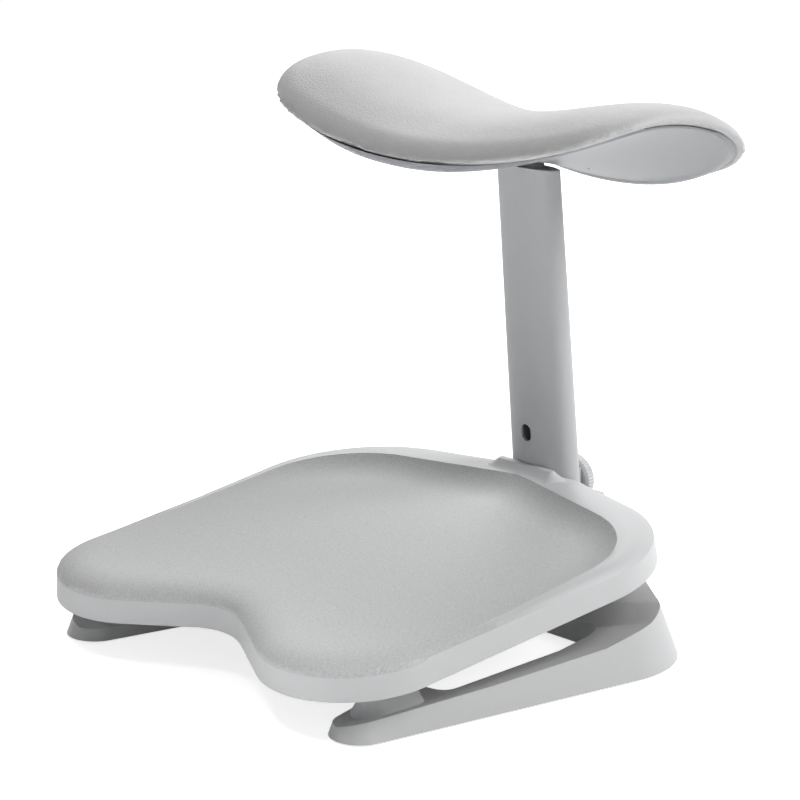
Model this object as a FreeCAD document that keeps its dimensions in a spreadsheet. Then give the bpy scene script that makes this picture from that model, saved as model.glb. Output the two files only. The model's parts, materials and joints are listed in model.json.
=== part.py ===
"""Footrest with a raised calf saddle, as a parametric document in millimetres.

+Z is up, the sitter is on the -Y side and the post stands at the +Y end. The origin lies on the floor.
A shield-shaped foot plate leans towards the sitter on a low U-shaped frame. An oval post rises
square to the plate, slides in a socket, is held by a lock pin with a ribbed knob, and carries a
cushioned saddle that tilts about a cross pin.
"""
import FreeCAD
import Part
import Sketcher
import math
import os
from FreeCAD import Placement, Rotation, Vector

SIZES = [
    ("incline", 5.5, "slope of the foot plate, degrees"),
    ("plate_datum_y", -238.0, "where the plate's underside datum lies along Y"),
    ("plate_datum_z", 37.0, "height of the plate's underside at its datum"),
    ("plate_half_width", 204.0, "half width of the plate at its rear corner"),
    ("plate_front_half_width", 195.0, "half width of the plate at its front corner"),
    ("notch_apex", 50.6, "sharp apex of the front notch, along the plate"),
    ("notch_radius", 58.0, "round of the front notch"),
    ("lobe_corner", 62.5, "sharp front corner of a lobe, ahead of the datum"),
    ("lobe_radius", 76.5, "round of a front lobe"),
    ("rear_corner", 369.0, "sharp rear corner of the plate, along the plate"),
    ("rear_corner_radius", 118.5, "round of the rear corner"),
    ("rear_apex", 415.8, "sharp rear apex of the plate, along the plate"),
    ("rear_apex_radius", 120.0, "round of the rear apex"),
    ("wall_height", 19.0, "side wall of the plate"),
    ("wall_flare", 2.0, "spread of the side wall at its foot"),
    ("crest_front_height", 19.6, "crest of the rim above the underside, at the datum"),
    ("crest_rear_height", 27.2, "crest of the rim above the underside, at the rear"),
    ("crest_front_inset", 1.2, "crest behind the front edge, in plan"),
    ("crest_side_inset", 17.5, "sloping band of the side rim, in plan"),
    ("crest_rear_inset", 40.0, "sloping band of the rear rim, in plan"),
    ("crest_corner_radius", 94.0, "round of the crest at the rear corner"),
    ("crest_apex_radius", 80.0, "round of the crest at the rear apex"),
    ("tray_run", 25.0, "curved band between crest and tray floor, in plan"),
    ("tray_turn_run", 0.25, "share of the band in which it is steep"),
    ("tray_turn_rise", 0.62, "share of the band's height gained there"),
    ("tray_front_height", 24.0, "tray floor above the underside, at the datum"),
    ("tray_rear_height", 15.5, "tray floor above the underside, at the rear"),
    ("tray_length", 360.0, "distance from the datum to the rear crest"),
    ("plate_wall", 4.5, "wall of the plate's open underside"),
    ("hollow_depth", 9.5, "depth of the plate's open underside"),
    ("rib_thickness", 2.6, "ribs under the plate"),
    ("rib_pitch", 56.0, "spacing of the ribs under the plate"),
    ("lip_height", 33.4, "lip in front of the post, above the underside"),
    ("lip_half_width", 31.0, "lip in front of the post"),
    ("lip_depth", 5.0, "lip in front of the post, along the plate"),
    ("mound_half_width", 74.0, "foot of the mound round the lip"),
    ("mound_front", 334.0, "foot of the mound, front edge along the plate"),
    ("mound_rear", 411.0, "foot of the mound, rear edge along the plate"),
    ("collar_gap", 0.7, "gap between plate and post"),
    ("post_axis", 408.6, "post axis along the plate"),
    ("post_half_width", 33.0, "half width of the post in its socket"),
    ("post_half_depth", 22.0, "half depth of the post in its socket"),
    ("post_top_half_width", 30.4, "half width of the post at its top"),
    ("post_top_half_depth", 20.2, "half depth of the post at its top"),
    ("post_end_radius", 15.5, "round ends of the post's oval, in its socket"),
    ("post_top_end_radius", 14.2, "round ends of the post's oval, at its top"),
    ("post_wall", 2.5, "wall of the post"),
    ("post_foot_depth", 12.5, "end of the tube below the plate's underside"),
    ("post_top_gap", 18.2, "tube end below the tilt axis"),
    ("post_top_slope", 13.0, "slope of the tube's cut end, degrees"),
    ("foot_cap_thickness", 2.0, "flange of the post's lower plug"),
    ("foot_plug_length", 9.0, "post's lower plug inside the tube"),
    ("travel", 56.6, "height adjustment, between the two index holes"),
    ("index_hole_width", 11.0, "width of an index hole"),
    ("index_hole_length", 15.3, "length of an index hole along the post"),
    ("lock_height", 4.5, "lock axis above the plate's underside"),
    ("lock_pin_radius", 4.75, "lock pin"),
    ("lock_pin_standoff", 0.6, "drawn pin's tip behind the post"),
    ("lock_pin_length", 14.5, "lock pin"),
    ("lock_bore_depth", 10.0, "threaded bore of the lock pin"),
    ("lock_screw_radius", 2.95, "lead screw of the knob"),
    ("lock_fit", 0.1, "running clearance of the lock's round parts"),
    ("guide_radius", 9.0, "guide of the lock pin, in the socket's tongue"),
    ("guide_neck_radius", 8.0, "neck of the guide that carries the knob"),
    ("guide_neck_length", 5.0, "neck of the guide behind the tongue"),
    ("knob_radius", 20.2, "ribbed knob"),
    ("knob_thickness", 12.0, "ribbed knob"),
    ("knob_crown", 2.4, "rounding of the knob's rim"),
    ("knob_rib_depth", 0.9, "depth of the ribs on the knob"),
    ("knob_ribs", 44, "count of ribs on the knob"),
    ("knob_gap", 0.8, "knob's face behind the tongue"),
    ("knob_washer_radius", 12.5, "thrust washer under the knob"),
    ("socket_depth", 40.0, "socket below the plate's underside"),
    ("socket_wall", 3.6, "wall of the socket"),
    ("tongue_half_width", 14.0, "tongue of the socket behind the post"),
    ("tongue_height", 17.0, "top of the tongue above the plate's underside"),
    ("tongue_back", 28.4, "rear face of the tongue, behind the post's axis"),
    ("flange_half_width", 54.0, "flanges of the socket"),
    ("flange_half_depth", 34.0, "flanges of the socket"),
    ("flange_thickness", 5.0, "flanges of the socket"),
    ("flange_screw_x", 43.0, "flange screws from the middle"),
    ("flange_screw_y", 16.0, "flange screws from the post axis"),
    ("bush_wall", 2.0, "guide bush around the post"),
    ("bush_fit", 0.3, "clearance between post and bush"),
    ("seat_fit", 0.1, "clearance between seated pieces"),
    ("frame_clear", 1.5, "frame above the floor"),
    ("frame_height", 46.0, "frame before its top is dished"),
    ("frame_draft", 20.0, "draft of the frame's walls, degrees"),
    ("frame_rear_apex", 257.0, "sharp rear apex of the frame"),
    ("frame_rear_radius", 220.0, "round of the frame's rear"),
    ("frame_corner_x", 236.5, "sharp rear corner of the frame"),
    ("frame_corner_y", 84.0, "sharp rear corner of the frame"),
    ("frame_corner_radius", 75.0, "round of the frame's rear corner"),
    ("toe_corner_x", 160.5, "sharp front corner of a toe"),
    ("toe_corner_y", -315.0, "sharp front corner of a toe"),
    ("toe_radius", 24.5, "round of a toe's tip"),
    ("toe_heel_x", 111.0, "inner rear corner of a toe"),
    ("toe_heel_y", -114.5, "inner rear corner of a toe"),
    ("toe_heel_radius", 20.0, "round of a toe's inner rear corner"),
    ("rail_front_x", 153.0, "inner edge of a rail at the toe"),
    ("rail_front_y", -106.5, "front end of a rail"),
    ("rail_front_radius", 10.0, "hollow round between toe and rail"),
    ("rail_rear_x", 158.0, "inner edge of a rail at the deck"),
    ("deck_front_y", 63.5, "front edge of the rear deck"),
    ("deck_corner_radius", 22.0, "hollow round between rail and deck"),
    ("inner_height", 11.0, "frame's top along its inner edge"),
    ("dish_slope", 0.3, "rise of the frame's top towards its outer edge"),
    ("deck_height", 38.0, "frame's top at the rear"),
    ("neck_x", 152.5, "middle of a neck"),
    ("neck_v", 72.0, "middle of a neck along the plate"),
    ("neck_half_width", 13.0, "neck at the plate"),
    ("neck_half_length", 24.0, "neck at the plate"),
    ("neck_foot_half_width", 21.0, "neck's flare at the toe"),
    ("neck_foot_half_length", 35.0, "neck's flare at the toe"),
    ("neck_turn", 4.0, "turn of a neck towards the rail, degrees"),
    ("pad_radius", 13.0, "rubber pads"),
    ("pad_thickness", 3.5, "rubber pads"),
    ("pad_front_x", 156.0, "front pads"),
    ("pad_front_y", -194.0, "front pads"),
    ("pad_rear_x", 186.0, "rear pads"),
    ("pad_rear_y", 74.0, "rear pads"),
    ("screw_radius", 2.5, "shank of the main screws"),
    ("screw_head_radius", 4.5, "head of the main screws"),
    ("screw_head_height", 4.0, "head of the main screws"),
    ("neck_screw_grip", 24.0, "neck screws below the plate's underside"),
    ("neck_screw_offset", 11.5, "neck screws from the neck's middle"),
    ("screw_bite", 8.0, "screws' reach into the plate"),
    ("socket_screw_bite", 13.0, "socket screws' reach into the frame"),
    ("pivot_height", 308.3, "tilt axis above the plate's underside"),
    ("pivot_pin_radius", 4.0, "tilt pin"),
    ("pivot_fit", 0.05, "running clearance of the tilt pin"),
    ("knuckle_radius", 9.0, "knuckle on the post's head"),
    ("knuckle_half_width", 11.0, "knuckle on the post's head"),
    ("neck_block_half_depth", 7.5, "stem of the post's head"),
    ("head_plug_length", 34.0, "post's head inside the tube"),
    ("washer_thickness", 1.1, "friction washers of the tilt joint"),
    ("washer_radius", 8.5, "friction washers of the tilt joint"),
    ("ear_thickness", 6.0, "ears of the saddle's board"),
    ("clip_thickness", 1.2, "clips of the tilt pin"),
    ("clip_radius", 6.6, "clips of the tilt pin"),
    ("saddle_tilt", 11.46, "saddle's slope, front edge raised, degrees"),
    ("saddle_forward", 28.8, "saddle's middle ahead of the tilt axis"),
    ("saddle_drop", 2.0, "saddle's middle surface below the tilt axis"),
    ("saddle_half_length", 196.0, "saddle across the legs"),
    ("saddle_front", 128.8, "saddle's front edge from its middle"),
    ("saddle_rear", 142.5, "saddle's rear edge from its middle"),
    ("saddle_front_power", 4.0, "squareness of the front outline"),
    ("saddle_rear_power", 3.24, "squareness of the rear outline"),
    ("saddle_lift", 60.8, "rise of the ends"),
    ("saddle_level", 15.6, "levelling of the ends"),
    ("front_droop", 21.7, "fall of the front edge"),
    ("rear_droop", 18.3, "fall of the rear edge"),
    ("end_droop", 1.08, "extra fall of the edges towards the ends"),
    ("cushion_crown", 29.3, "crown of the cushion above its edge"),
    ("cushion_shoulder", 15.0, "shoulder of the cushion's rolled edge"),
    ("ledge_scale", 0.93, "inner edge of the ledge where cushion and shell meet"),
    ("seam_inset", 0.1, "share of the ledge that stays open as a seam groove"),
    ("shell_roll", 0.25, "fullness of the shell's rolled edge, in the middle"),
    ("shell_roll_fade", 0.75, "share of that fullness lost at the ends"),
    ("seam_lift", 0.14, "seam above the middle surface, as a share of the crown"),
    ("seam_end_lift", 0.36, "extra lift of the seam at the ends, as a share of the crown"),
    ("seam_gap", 0.8, "open seam between cushion and shell"),
    ("shell_depth", 10.7, "belly of the shell"),
    ("shell_edge_depth", 2.4, "depth of the shell at its edge"),
    ("shell_wall", 3.0, "wall of the shell"),
    ("cavity_scale", 0.86, "belly of the shell within the saddle's outline"),
    ("hollow_scale", 0.82, "hollow of the shell within the saddle's outline"),
    ("board_scale", 0.66, "board within the cushion's outline"),
    ("board_thickness", 3.0, "board under the cushion"),
    ("layer_gap", 0.3, "gap between cushion, board and shell"),
    ("shell_screw_x", 40.0, "shell screws from the middle"),
    ("shell_screw_y", 36.0, "shell screws from the tilt axis"),
    ("shell_screw_radius", 1.7, "shell screws"),
    ("opening_half_width", 12.6, "shell's opening for the post's head"),
    ("opening_half_depth", 14.6, "shell's opening for the post's head"),
]

doc = FreeCAD.newDocument("Footrest")
sheet = doc.addObject("Spreadsheet::Sheet", "Sizes")
for row, (alias, value, meaning) in enumerate(SIZES, start=1):
    sheet.set(f"A{row}", alias)
    sheet.set(f"B{row}", str(value))
    sheet.set(f"C{row}", meaning)
    sheet.setAlias(f"B{row}", alias)
doc.recompute()


class SheetReader:
    """Reads a size from the sheet by its alias."""

    def __getattr__(self, alias):
        return float(sheet.get(alias))


size = SheetReader()
X_AXIS = Vector(1, 0, 0)
Y_AXIS = Vector(0, 1, 0)
Z_AXIS = Vector(0, 0, 1)
RIGHT_AND_LEFT = (1, -1)
FAR = 600.0

plate_frame = Placement(Vector(0, size.plate_datum_y, size.plate_datum_z), Rotation(X_AXIS, size.incline))
post_frame = plate_frame.multiply(Placement(Vector(0, size.post_axis, 0), Rotation()))
pivot_point = post_frame.multVec(Vector(0, 0, size.pivot_height))
saddle_turn = Rotation(X_AXIS, -size.saddle_tilt)
saddle_middle = pivot_point - saddle_turn.multVec(Vector(0, size.saddle_forward, size.saddle_drop))
saddle_frame = Placement(saddle_middle, saddle_turn)
lock_frame = post_frame.multiply(Placement(Vector(0, 0, size.lock_height), Rotation(X_AXIS, -90)))

nodes = []


def keep(label, shape, placement=Placement()):
    """Adds one sub-part made directly from a shape."""
    feature = doc.addObject("Part::Feature", label)
    feature.Label = label
    feature.Shape = shape
    feature.Placement = placement.multiply(shape.Placement)
    nodes.append(feature)
    return feature


def mirrored(corners):
    """Completes a right-hand run of corners, whose end corners may lie on the middle line."""
    left = [(-x, y, r) for x, y, r in reversed(corners) if abs(x) > 1e-6]
    return corners + left


def rounded_outline(corners):
    """A closed flat wire of straight runs and tangent arcs through rounded corners (x, y, radius)."""
    count = len(corners)
    starts, middles, ends = [], [], []
    for i, (x, y, radius) in enumerate(corners):
        here = Vector(x, y, 0)
        back = Vector(corners[i - 1][0], corners[i - 1][1], 0) - here
        ahead = Vector(corners[(i + 1) % count][0], corners[(i + 1) % count][1], 0) - here
        back.normalize()
        ahead.normalize()
        half = back.getAngle(ahead) / 2
        inward = back + ahead
        inward.normalize()
        starts.append(here + back * (radius / math.tan(half)))
        ends.append(here + ahead * (radius / math.tan(half)))
        middles.append(here + inward * (radius / math.sin(half) - radius))
    edges = []
    for i in range(count):
        edges.append(Part.Arc(starts[i], middles[i], ends[i]).toShape())
        edges.append(Part.LineSegment(ends[i], starts[(i + 1) % count]).toShape())
    return Part.Wire(edges)


def inset_corners(corners, insets):
    """Moves each straight run of an anticlockwise outline inwards by its own inset."""
    count = len(corners)
    moved = []
    for i, (x, y, radius) in enumerate(corners):
        here = Vector(x, y, 0)
        run_in = here - Vector(corners[i - 1][0], corners[i - 1][1], 0)
        run_out = Vector(corners[(i + 1) % count][0], corners[(i + 1) % count][1], 0) - here
        run_in.normalize()
        run_out.normalize()
        before, after = insets[i - 1], insets[i]
        turn = run_in.cross(run_out).z
        shift = (run_out * before - run_in * after) * (1 / turn)
        mean = (before + after) / 2
        moved.append((x + shift.x, y + shift.y, radius - mean if turn > 0 else radius + mean))
    return moved


def raised(wire, front_height, rear_height, length):
    """Lifts a plan wire on to a plane that rises from front_height to rear_height over length."""
    slope = math.degrees(math.atan2(rear_height - front_height, length))
    lifted = wire.copy()
    lifted.Placement = Placement(Vector(0, 0, front_height), Rotation(X_AXIS, slope))
    return lifted


def stadium(half_width, half_depth, height, middle=0.0):
    """An oblong wire with round ends, longer along X."""
    reach = half_width - half_depth
    right = Vector(reach, middle, height)
    left = Vector(-reach, middle, height)
    down = Vector(0, -half_depth, 0)
    out = Vector(half_depth, 0, 0)
    return Part.Wire([
        Part.LineSegment(left + down, right + down).toShape(),
        Part.Arc(right + down, right + out, right - down).toShape(),
        Part.LineSegment(right - down, left - down).toShape(),
        Part.Arc(left - down, left - out, left + down).toShape(),
    ])


def prism(wire, rise):
    """A solid raised from a flat wire along Z."""
    return Part.Face(wire).extrude(Vector(0, 0, rise))


def stadium_prism(half_width, half_depth, low, high, middle=0.0):
    return prism(stadium(half_width, half_depth, low, middle), high - low)


def oval(half_width, half_depth, end_radius, height, middle=0.0):
    """An oval wire of four tangent arcs, longer along X."""
    slack = half_width ** 2 + half_depth ** 2 - 2 * half_width * end_radius
    side_radius = slack / (2 * (half_depth - end_radius))
    end_centre = half_width - end_radius
    side_centre = side_radius - half_depth
    stretch = 1 + end_radius / math.hypot(end_centre, side_centre)
    touch_x = end_centre * stretch
    touch_y = side_centre * (stretch - 1)
    corners = [Vector(x, middle + y, height) for x, y in (
        (-touch_x, -touch_y), (touch_x, -touch_y), (touch_x, touch_y), (-touch_x, touch_y))]
    crowns = [Vector(x, middle + y, height) for x, y in (
        (0, -half_depth), (half_width, 0), (0, half_depth), (-half_width, 0))]
    return Part.Wire([
        Part.Arc(corners[i], crowns[i], corners[(i + 1) % 4]).toShape() for i in range(4)
    ])


def post_oval(inset, height, middle=0.0):
    """The post's section in its socket, shrunk by inset."""
    return oval(size.post_half_width - inset, size.post_half_depth - inset,
                size.post_end_radius - inset, height, middle)


def post_prism(inset, low, high, middle=0.0):
    return prism(post_oval(inset, low, middle), high - low)


def rod(radius, start, end, axis, at=Vector()):
    """A round bar along an axis from start to end."""
    return Part.makeCylinder(radius, end - start, at + axis * start, axis)


def block(low, high):
    return Part.makeBox(high.x - low.x, high.y - low.y, high.z - low.z, low)


def origin_plane(body, role):
    return next(plane for plane in body.Origin.OriginFeatures if plane.Role == role)


def turned(label, placement, profile):
    """A lathe-turned body: profile points (radius, height) are expressions on the sheet."""
    body = doc.addObject("PartDesign::Body", label)
    body.Label = label
    sketch = body.newObject("Sketcher::SketchObject", label + "_profile")
    sketch.AttachmentSupport = [(origin_plane(body, "XZ_Plane"), "")]
    sketch.MapMode = "FlatFace"
    points = [Vector(evaluated(radius), evaluated(height), 0) for radius, height in profile]
    count = len(points)
    for i in range(count):
        sketch.addGeometry(Part.LineSegment(points[i], points[(i + 1) % count]), False)
    for i in range(count):
        sketch.addConstraint(Sketcher.Constraint("Coincident", i, 2, (i + 1) % count, 1))
    for i, (radius, height) in enumerate(profile):
        pin_coordinate(sketch, "DistanceX", -2, i, points[i].x, radius)
        pin_coordinate(sketch, "DistanceY", -1, i, points[i].y, height)
    turn = body.newObject("PartDesign::Revolution", label + "_turn")
    turn.Profile = sketch
    turn.ReferenceAxis = (sketch, ["V_Axis"])
    turn.Angle = 360
    body.Tip = turn
    body.Placement = placement
    return body


def evaluated(expression):
    """The value of a sum or difference of sheet aliases and plain numbers, such as 'Sizes.a - Sizes.b'."""
    total = 0.0
    sign = 1
    for word in expression.split():
        if word in "+-":
            sign = 1 if word == "+" else -1
        elif word.startswith("Sizes."):
            total += sign * float(sheet.get(word[6:]))
        else:
            total += sign * float(word)
    return total


def pin_coordinate(sketch, kind, axis, line, value, expression):
    """Ties one coordinate of a line's start to an expression, or to the sketch's axis where it is zero."""
    if expression == "0":
        sketch.addConstraint(Sketcher.Constraint("PointOnObject", line, 1, axis))
        return
    index = sketch.addConstraint(Sketcher.Constraint(kind, -1, 1, line, 1, value))
    sketch.setExpression(f"Constraints[{index}]", expression)


def keep_turned(label, placement, profile):
    nodes.append(turned(label, placement, profile))


def screw(grip, bite):
    """A pan-head screw whose head's underside lies at -grip and whose tip lies at bite."""
    shank = rod(size.screw_radius, -grip, bite, Z_AXIS)
    head = rod(size.screw_head_radius, -grip - size.screw_head_height, -grip, Z_AXIS)
    return shank.fuse(head).removeSplitter()


def at_points(shape, points):
    copies = []
    for point in points:
        copy = shape.copy()
        copy.translate(point)
        copies.append(copy)
    return copies


# Plan of the foot plate, from the notch round the right-hand side to the rear apex.
plate_corners = mirrored([
    (0, size.notch_apex, size.notch_radius),
    (size.plate_front_half_width, -size.lobe_corner, size.lobe_radius),
    (size.plate_half_width, size.rear_corner, size.rear_corner_radius),
    (0, size.rear_apex, size.rear_apex_radius),
])
flange_points = []
for side in RIGHT_AND_LEFT:
    for along in RIGHT_AND_LEFT:
        flange_points.append(Vector(side * size.flange_screw_x, along * size.flange_screw_y, 0))
front_flange_points = [point for point in flange_points if point.y < 0]
neck_screw_points = []
for side in RIGHT_AND_LEFT:
    for along in RIGHT_AND_LEFT:
        neck_screw_points.append(Vector(side * size.neck_x, size.neck_v + along * size.neck_screw_offset, 0))


def plate_insets(front, side, rear):
    return [front, side, rear, rear, side, front]


def plate_plan(inset):
    """Plan wire of the plate, drawn in by inset all round."""
    return rounded_outline(inset_corners(plate_corners, plate_insets(inset, inset, inset)))


def crest_plan(extra=0.0, share=1.0):
    """Plan wire of the crest: at the edge along the front, and further in towards the rear."""
    front = share * size.crest_front_inset + extra
    side = share * size.crest_side_inset + extra
    rear = share * size.crest_rear_inset + extra
    corners = inset_corners(plate_corners, plate_insets(front, front, front))
    behind = inset_corners(plate_corners, plate_insets(side, side, rear))
    corner_radius = size.rear_corner_radius + share * (size.crest_corner_radius - size.rear_corner_radius)
    apex_radius = size.rear_apex_radius + share * (size.crest_apex_radius - size.rear_apex_radius)
    for i, radius in ((2, corner_radius), (3, apex_radius), (4, corner_radius)):
        corners[i] = (behind[i][0], behind[i][1], radius - extra)
    return rounded_outline(corners)


def crest_wire():
    return raised(crest_plan(), size.crest_front_height, size.crest_rear_height, size.tray_length)


def rim_band():
    """The sloping rim, from the top of the side wall in to the crest."""
    bulge, share = 0.7, 0.38
    wall = size.wall_height
    front = wall + bulge * (size.crest_front_height - wall)
    rear = wall + bulge * (size.crest_rear_height - wall)
    return Part.makeLoft([
        raised(plate_plan(0), wall, wall, size.tray_length),
        raised(crest_plan(share=share), front, rear, size.tray_length),
        crest_wire(),
    ], False, False)


def tray_floor_wire():
    return raised(
        crest_plan(size.tray_run), size.tray_front_height, size.tray_rear_height, size.tray_length)


def tray_band():
    """From the crest to the tray's floor: rolled over at the front, hollow at the sides and the rear."""
    front_gain = size.tray_turn_rise * (size.tray_front_height - size.crest_front_height)
    rear_gain = size.tray_turn_rise * (size.tray_rear_height - size.crest_rear_height)
    turn = raised(
        crest_plan(size.tray_run * size.tray_turn_run),
        size.crest_front_height + front_gain, size.crest_rear_height + rear_gain, size.tray_length)
    return Part.makeLoft([crest_wire(), turn, tray_floor_wire()], False, False)


def closed_solid(faces):
    """A solid bounded by faces that meet edge to edge."""
    shell = Part.makeShell(faces)
    shell.sewShape()
    solid = Part.makeSolid(Part.Shell(shell.Faces))
    if solid.Volume < 0:
        solid.reverse()
    return solid


def mound_section(share, height):
    """Oblong section of the mound: share 0 is its foot in the rim, share 1 the lip in front of the post."""
    lip_rear = size.post_axis - size.post_half_depth + 1.0
    lip_front = lip_rear - size.lip_depth
    half_width = size.mound_half_width + share * (size.lip_half_width - size.mound_half_width)
    front = size.mound_front + share * (lip_front - size.mound_front)
    rear = size.mound_rear + share * (lip_rear - size.mound_rear)
    return stadium(half_width, (rear - front) / 2, height, (rear + front) / 2)


def plate_hollow():
    """The open underside between the plate's wall, ribs, neck bosses and collar boss."""
    wall = size.plate_wall
    space = prism(plate_plan(wall), size.hollow_depth)
    solid_parts = [prism(mound_section(0, 0), size.hollow_depth)]
    solid_parts.append(stadium_prism(
        size.flange_half_width + wall, size.flange_half_depth + wall, 0, size.hollow_depth, size.post_axis))
    for side in RIGHT_AND_LEFT:
        boss = stadium_prism(size.neck_half_length + wall, size.neck_half_width + wall, 0, size.hollow_depth)
        boss.rotate(Vector(), Z_AXIS, 90)
        boss.translate(Vector(side * size.neck_x, size.neck_v, 0))
        solid_parts.append(boss)
    half = size.rib_thickness / 2
    across = int(size.plate_half_width // size.rib_pitch)
    for i in range(-across, across + 1):
        middle = i * size.rib_pitch
        low, high = Vector(middle - half, -FAR, 0), Vector(middle + half, FAR, size.hollow_depth)
        solid_parts.append(block(low, high))
    along = int(size.rear_corner // size.rib_pitch)
    for i in range(1, along + 1):
        middle = i * size.rib_pitch
        low, high = Vector(-FAR, middle - half, 0), Vector(FAR, middle + half, size.hollow_depth)
        solid_parts.append(block(low, high))
    return space.cut(solid_parts)


def mound():
    """The rise round the lip: a flared foot that runs up from the crest, inside the plate's outline."""
    low, high = size.wall_height - 1, size.lip_height
    flare = [(0, 0), (0.42, 0.24), (0.75, 0.56), (1, 1)]
    sections = [mound_section(share, low + climb * (high - low)) for share, climb in flare]
    rise = Part.makeLoft(sections, True, False)
    tray_space = prism(raised(crest_plan(), low, low, size.tray_length), FAR)
    return rise.common(prism(plate_plan(0), FAR)).cut(tray_space)


def foot_plate():
    underside = raised(plate_plan(-size.wall_flare), 0, 0, size.tray_length)
    wall_top = raised(plate_plan(0), size.wall_height, size.wall_height, size.tray_length)
    wall = Part.makeLoft([underside, wall_top], False, True)
    plate = closed_solid(wall.Faces + rim_band().Faces + tray_band().Faces
                         + [Part.Face(underside), Part.Face(tray_floor_wire())])
    plate = plate.fuse(mound())
    gap = size.collar_gap
    post_hole = post_prism(-gap, -1, size.lip_height + 1, size.post_axis)
    half_width = size.post_half_width + gap
    open_end = block(
        Vector(-half_width, size.post_axis, -1), Vector(half_width, FAR, size.lip_height + 1))
    bite = size.screw_bite + size.seat_fit
    screw_hole = rod(size.screw_radius + size.seat_fit, -1, bite, Z_AXIS)
    shifted = [point + Vector(0, size.post_axis, 0) for point in front_flange_points]
    holes = at_points(screw_hole, neck_screw_points + shifted)
    return plate.cut([plate_hollow(), post_hole, open_end] + holes).removeSplitter()


def neck_plan(half_width, half_length, height):
    wire = stadium(half_length, half_width, 0)
    wire.rotate(Vector(), Z_AXIS, 90)
    wire.translate(Vector(0, 0, height))
    return wire


def neck(side):
    """A neck that flares from the plate's underside down on to the toe."""
    foot = plate_frame.multVec(Vector(side * size.neck_x, size.neck_v, 0))
    turn = Placement(Vector(foot.x, foot.y, 0), Rotation(Z_AXIS, -side * size.neck_turn))
    sink = 3.0
    flare_rise, flare_share = 9.0, 0.3
    foot_wire = neck_plan(size.neck_foot_half_width, size.neck_foot_half_length, size.inner_height - sink)
    mid_wire = neck_plan(
        size.neck_half_width + flare_share * (size.neck_foot_half_width - size.neck_half_width),
        size.neck_half_length + flare_share * (size.neck_foot_half_length - size.neck_half_length),
        size.inner_height + flare_rise)
    top_wire = neck_plan(size.neck_half_width, size.neck_half_length, 0)
    foot_wire.Placement = turn.multiply(foot_wire.Placement)
    mid_wire.Placement = turn.multiply(mid_wire.Placement)
    local = Placement(Vector(side * size.neck_x, size.neck_v, 0), Rotation(Z_AXIS, -side * size.neck_turn))
    top_wire.Placement = plate_frame.multiply(local).multiply(top_wire.Placement)
    return Part.makeLoft([foot_wire, mid_wire, top_wire], True, False)


def dish_section(y, flat_half_width, flat_height, slope):
    """Section of the space above the frame: flat in the middle, rising outwards at slope."""
    edge = FAR / 2
    high = flat_height + (edge - flat_half_width) * slope
    top = 4 * size.frame_height
    points = [
        Vector(-edge, y, top), Vector(-edge, y, high), Vector(-flat_half_width, y, flat_height),
        Vector(flat_half_width, y, flat_height), Vector(edge, y, high), Vector(edge, y, top),
    ]
    return Part.makePolygon(points + points[:1])


def frame_dish():
    """The scooped top of the frame: low along the inner edge, high along the outer and rear edges."""
    low, slope = size.inner_height, size.dish_slope
    deck = size.deck_front_y
    return Part.makeLoft([
        dish_section(-FAR / 2, size.toe_corner_x - 10, low, slope),
        dish_section(deck - 160, size.rail_front_x + 4, low, slope),
        dish_section(deck - 50, size.rail_rear_x - 8, low, slope),
        dish_section(deck, size.rail_rear_x - 28, low + 1, slope + 0.02),
        dish_section(deck + 30, size.rail_rear_x - 60, low + 10, slope - 0.07),
        dish_section(deck + 90, size.rail_rear_x - 90, size.deck_height, slope - 0.2),
        dish_section(FAR / 2, size.rail_rear_x - 90, size.deck_height + 6, slope - 0.25),
    ], True, True)


def base_frame():
    corners = [
        (size.rail_rear_x, size.deck_front_y, size.deck_corner_radius),
        (size.rail_front_x, size.rail_front_y, size.rail_front_radius),
        (size.toe_heel_x, size.toe_heel_y, size.toe_heel_radius),
        (size.toe_corner_x, size.toe_corner_y, size.toe_radius),
        (size.frame_corner_x, size.frame_corner_y, size.frame_corner_radius),
        (0, size.frame_rear_apex, size.frame_rear_radius),
    ]
    corners = mirrored(corners)
    inset = size.frame_height * math.tan(math.radians(size.frame_draft))
    foot_wire = rounded_outline(corners)
    top_wire = rounded_outline(inset_corners(corners, [inset] * len(corners)))
    foot_wire.translate(Vector(0, 0, size.frame_clear))
    top_wire.translate(Vector(0, 0, size.frame_clear + size.frame_height))
    frame = Part.makeLoft([foot_wire, top_wire], True, True).cut(frame_dish())
    below_floor = block(Vector(-FAR, -FAR, -FAR), Vector(FAR, FAR, size.frame_clear))
    seat = stadium_prism(
        size.flange_half_width, size.flange_half_depth, -3 * size.socket_depth, -size.socket_depth)
    seat.Placement = post_frame
    seat = seat.cut(below_floor)
    frame = frame.fuse([neck(1), neck(-1), seat])
    flange_room = stadium_prism(
        size.flange_half_width + 1, size.flange_half_depth + 1, -size.socket_depth, 0)
    post_room = size.bush_fit + size.bush_wall + size.seat_fit
    post_hole = post_prism(-post_room, -3 * size.socket_depth, 0)
    screw_hole = rod(
        size.screw_radius + size.seat_fit, -size.socket_depth - size.socket_screw_bite - 1, 0, Z_AXIS)
    cuts = [flange_room, post_hole] + at_points(screw_hole, flange_points)
    for cut in cuts:
        cut.Placement = post_frame.multiply(cut.Placement)
    head_room = rod(size.screw_head_radius + 1, -2 * size.socket_depth, -size.neck_screw_grip, Z_AXIS)
    neck_hole = rod(size.screw_radius + size.seat_fit, -size.neck_screw_grip - 1, 1, Z_AXIS)
    neck_cuts = at_points(head_room, neck_screw_points) + at_points(neck_hole, neck_screw_points)
    for cut in neck_cuts:
        cut.Placement = plate_frame.multiply(cut.Placement)
    recess = rod(size.pad_radius + size.seat_fit, 0, size.pad_thickness, Z_AXIS)
    return frame.cut(cuts + neck_cuts + at_points(recess, pad_points())).removeSplitter()


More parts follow.
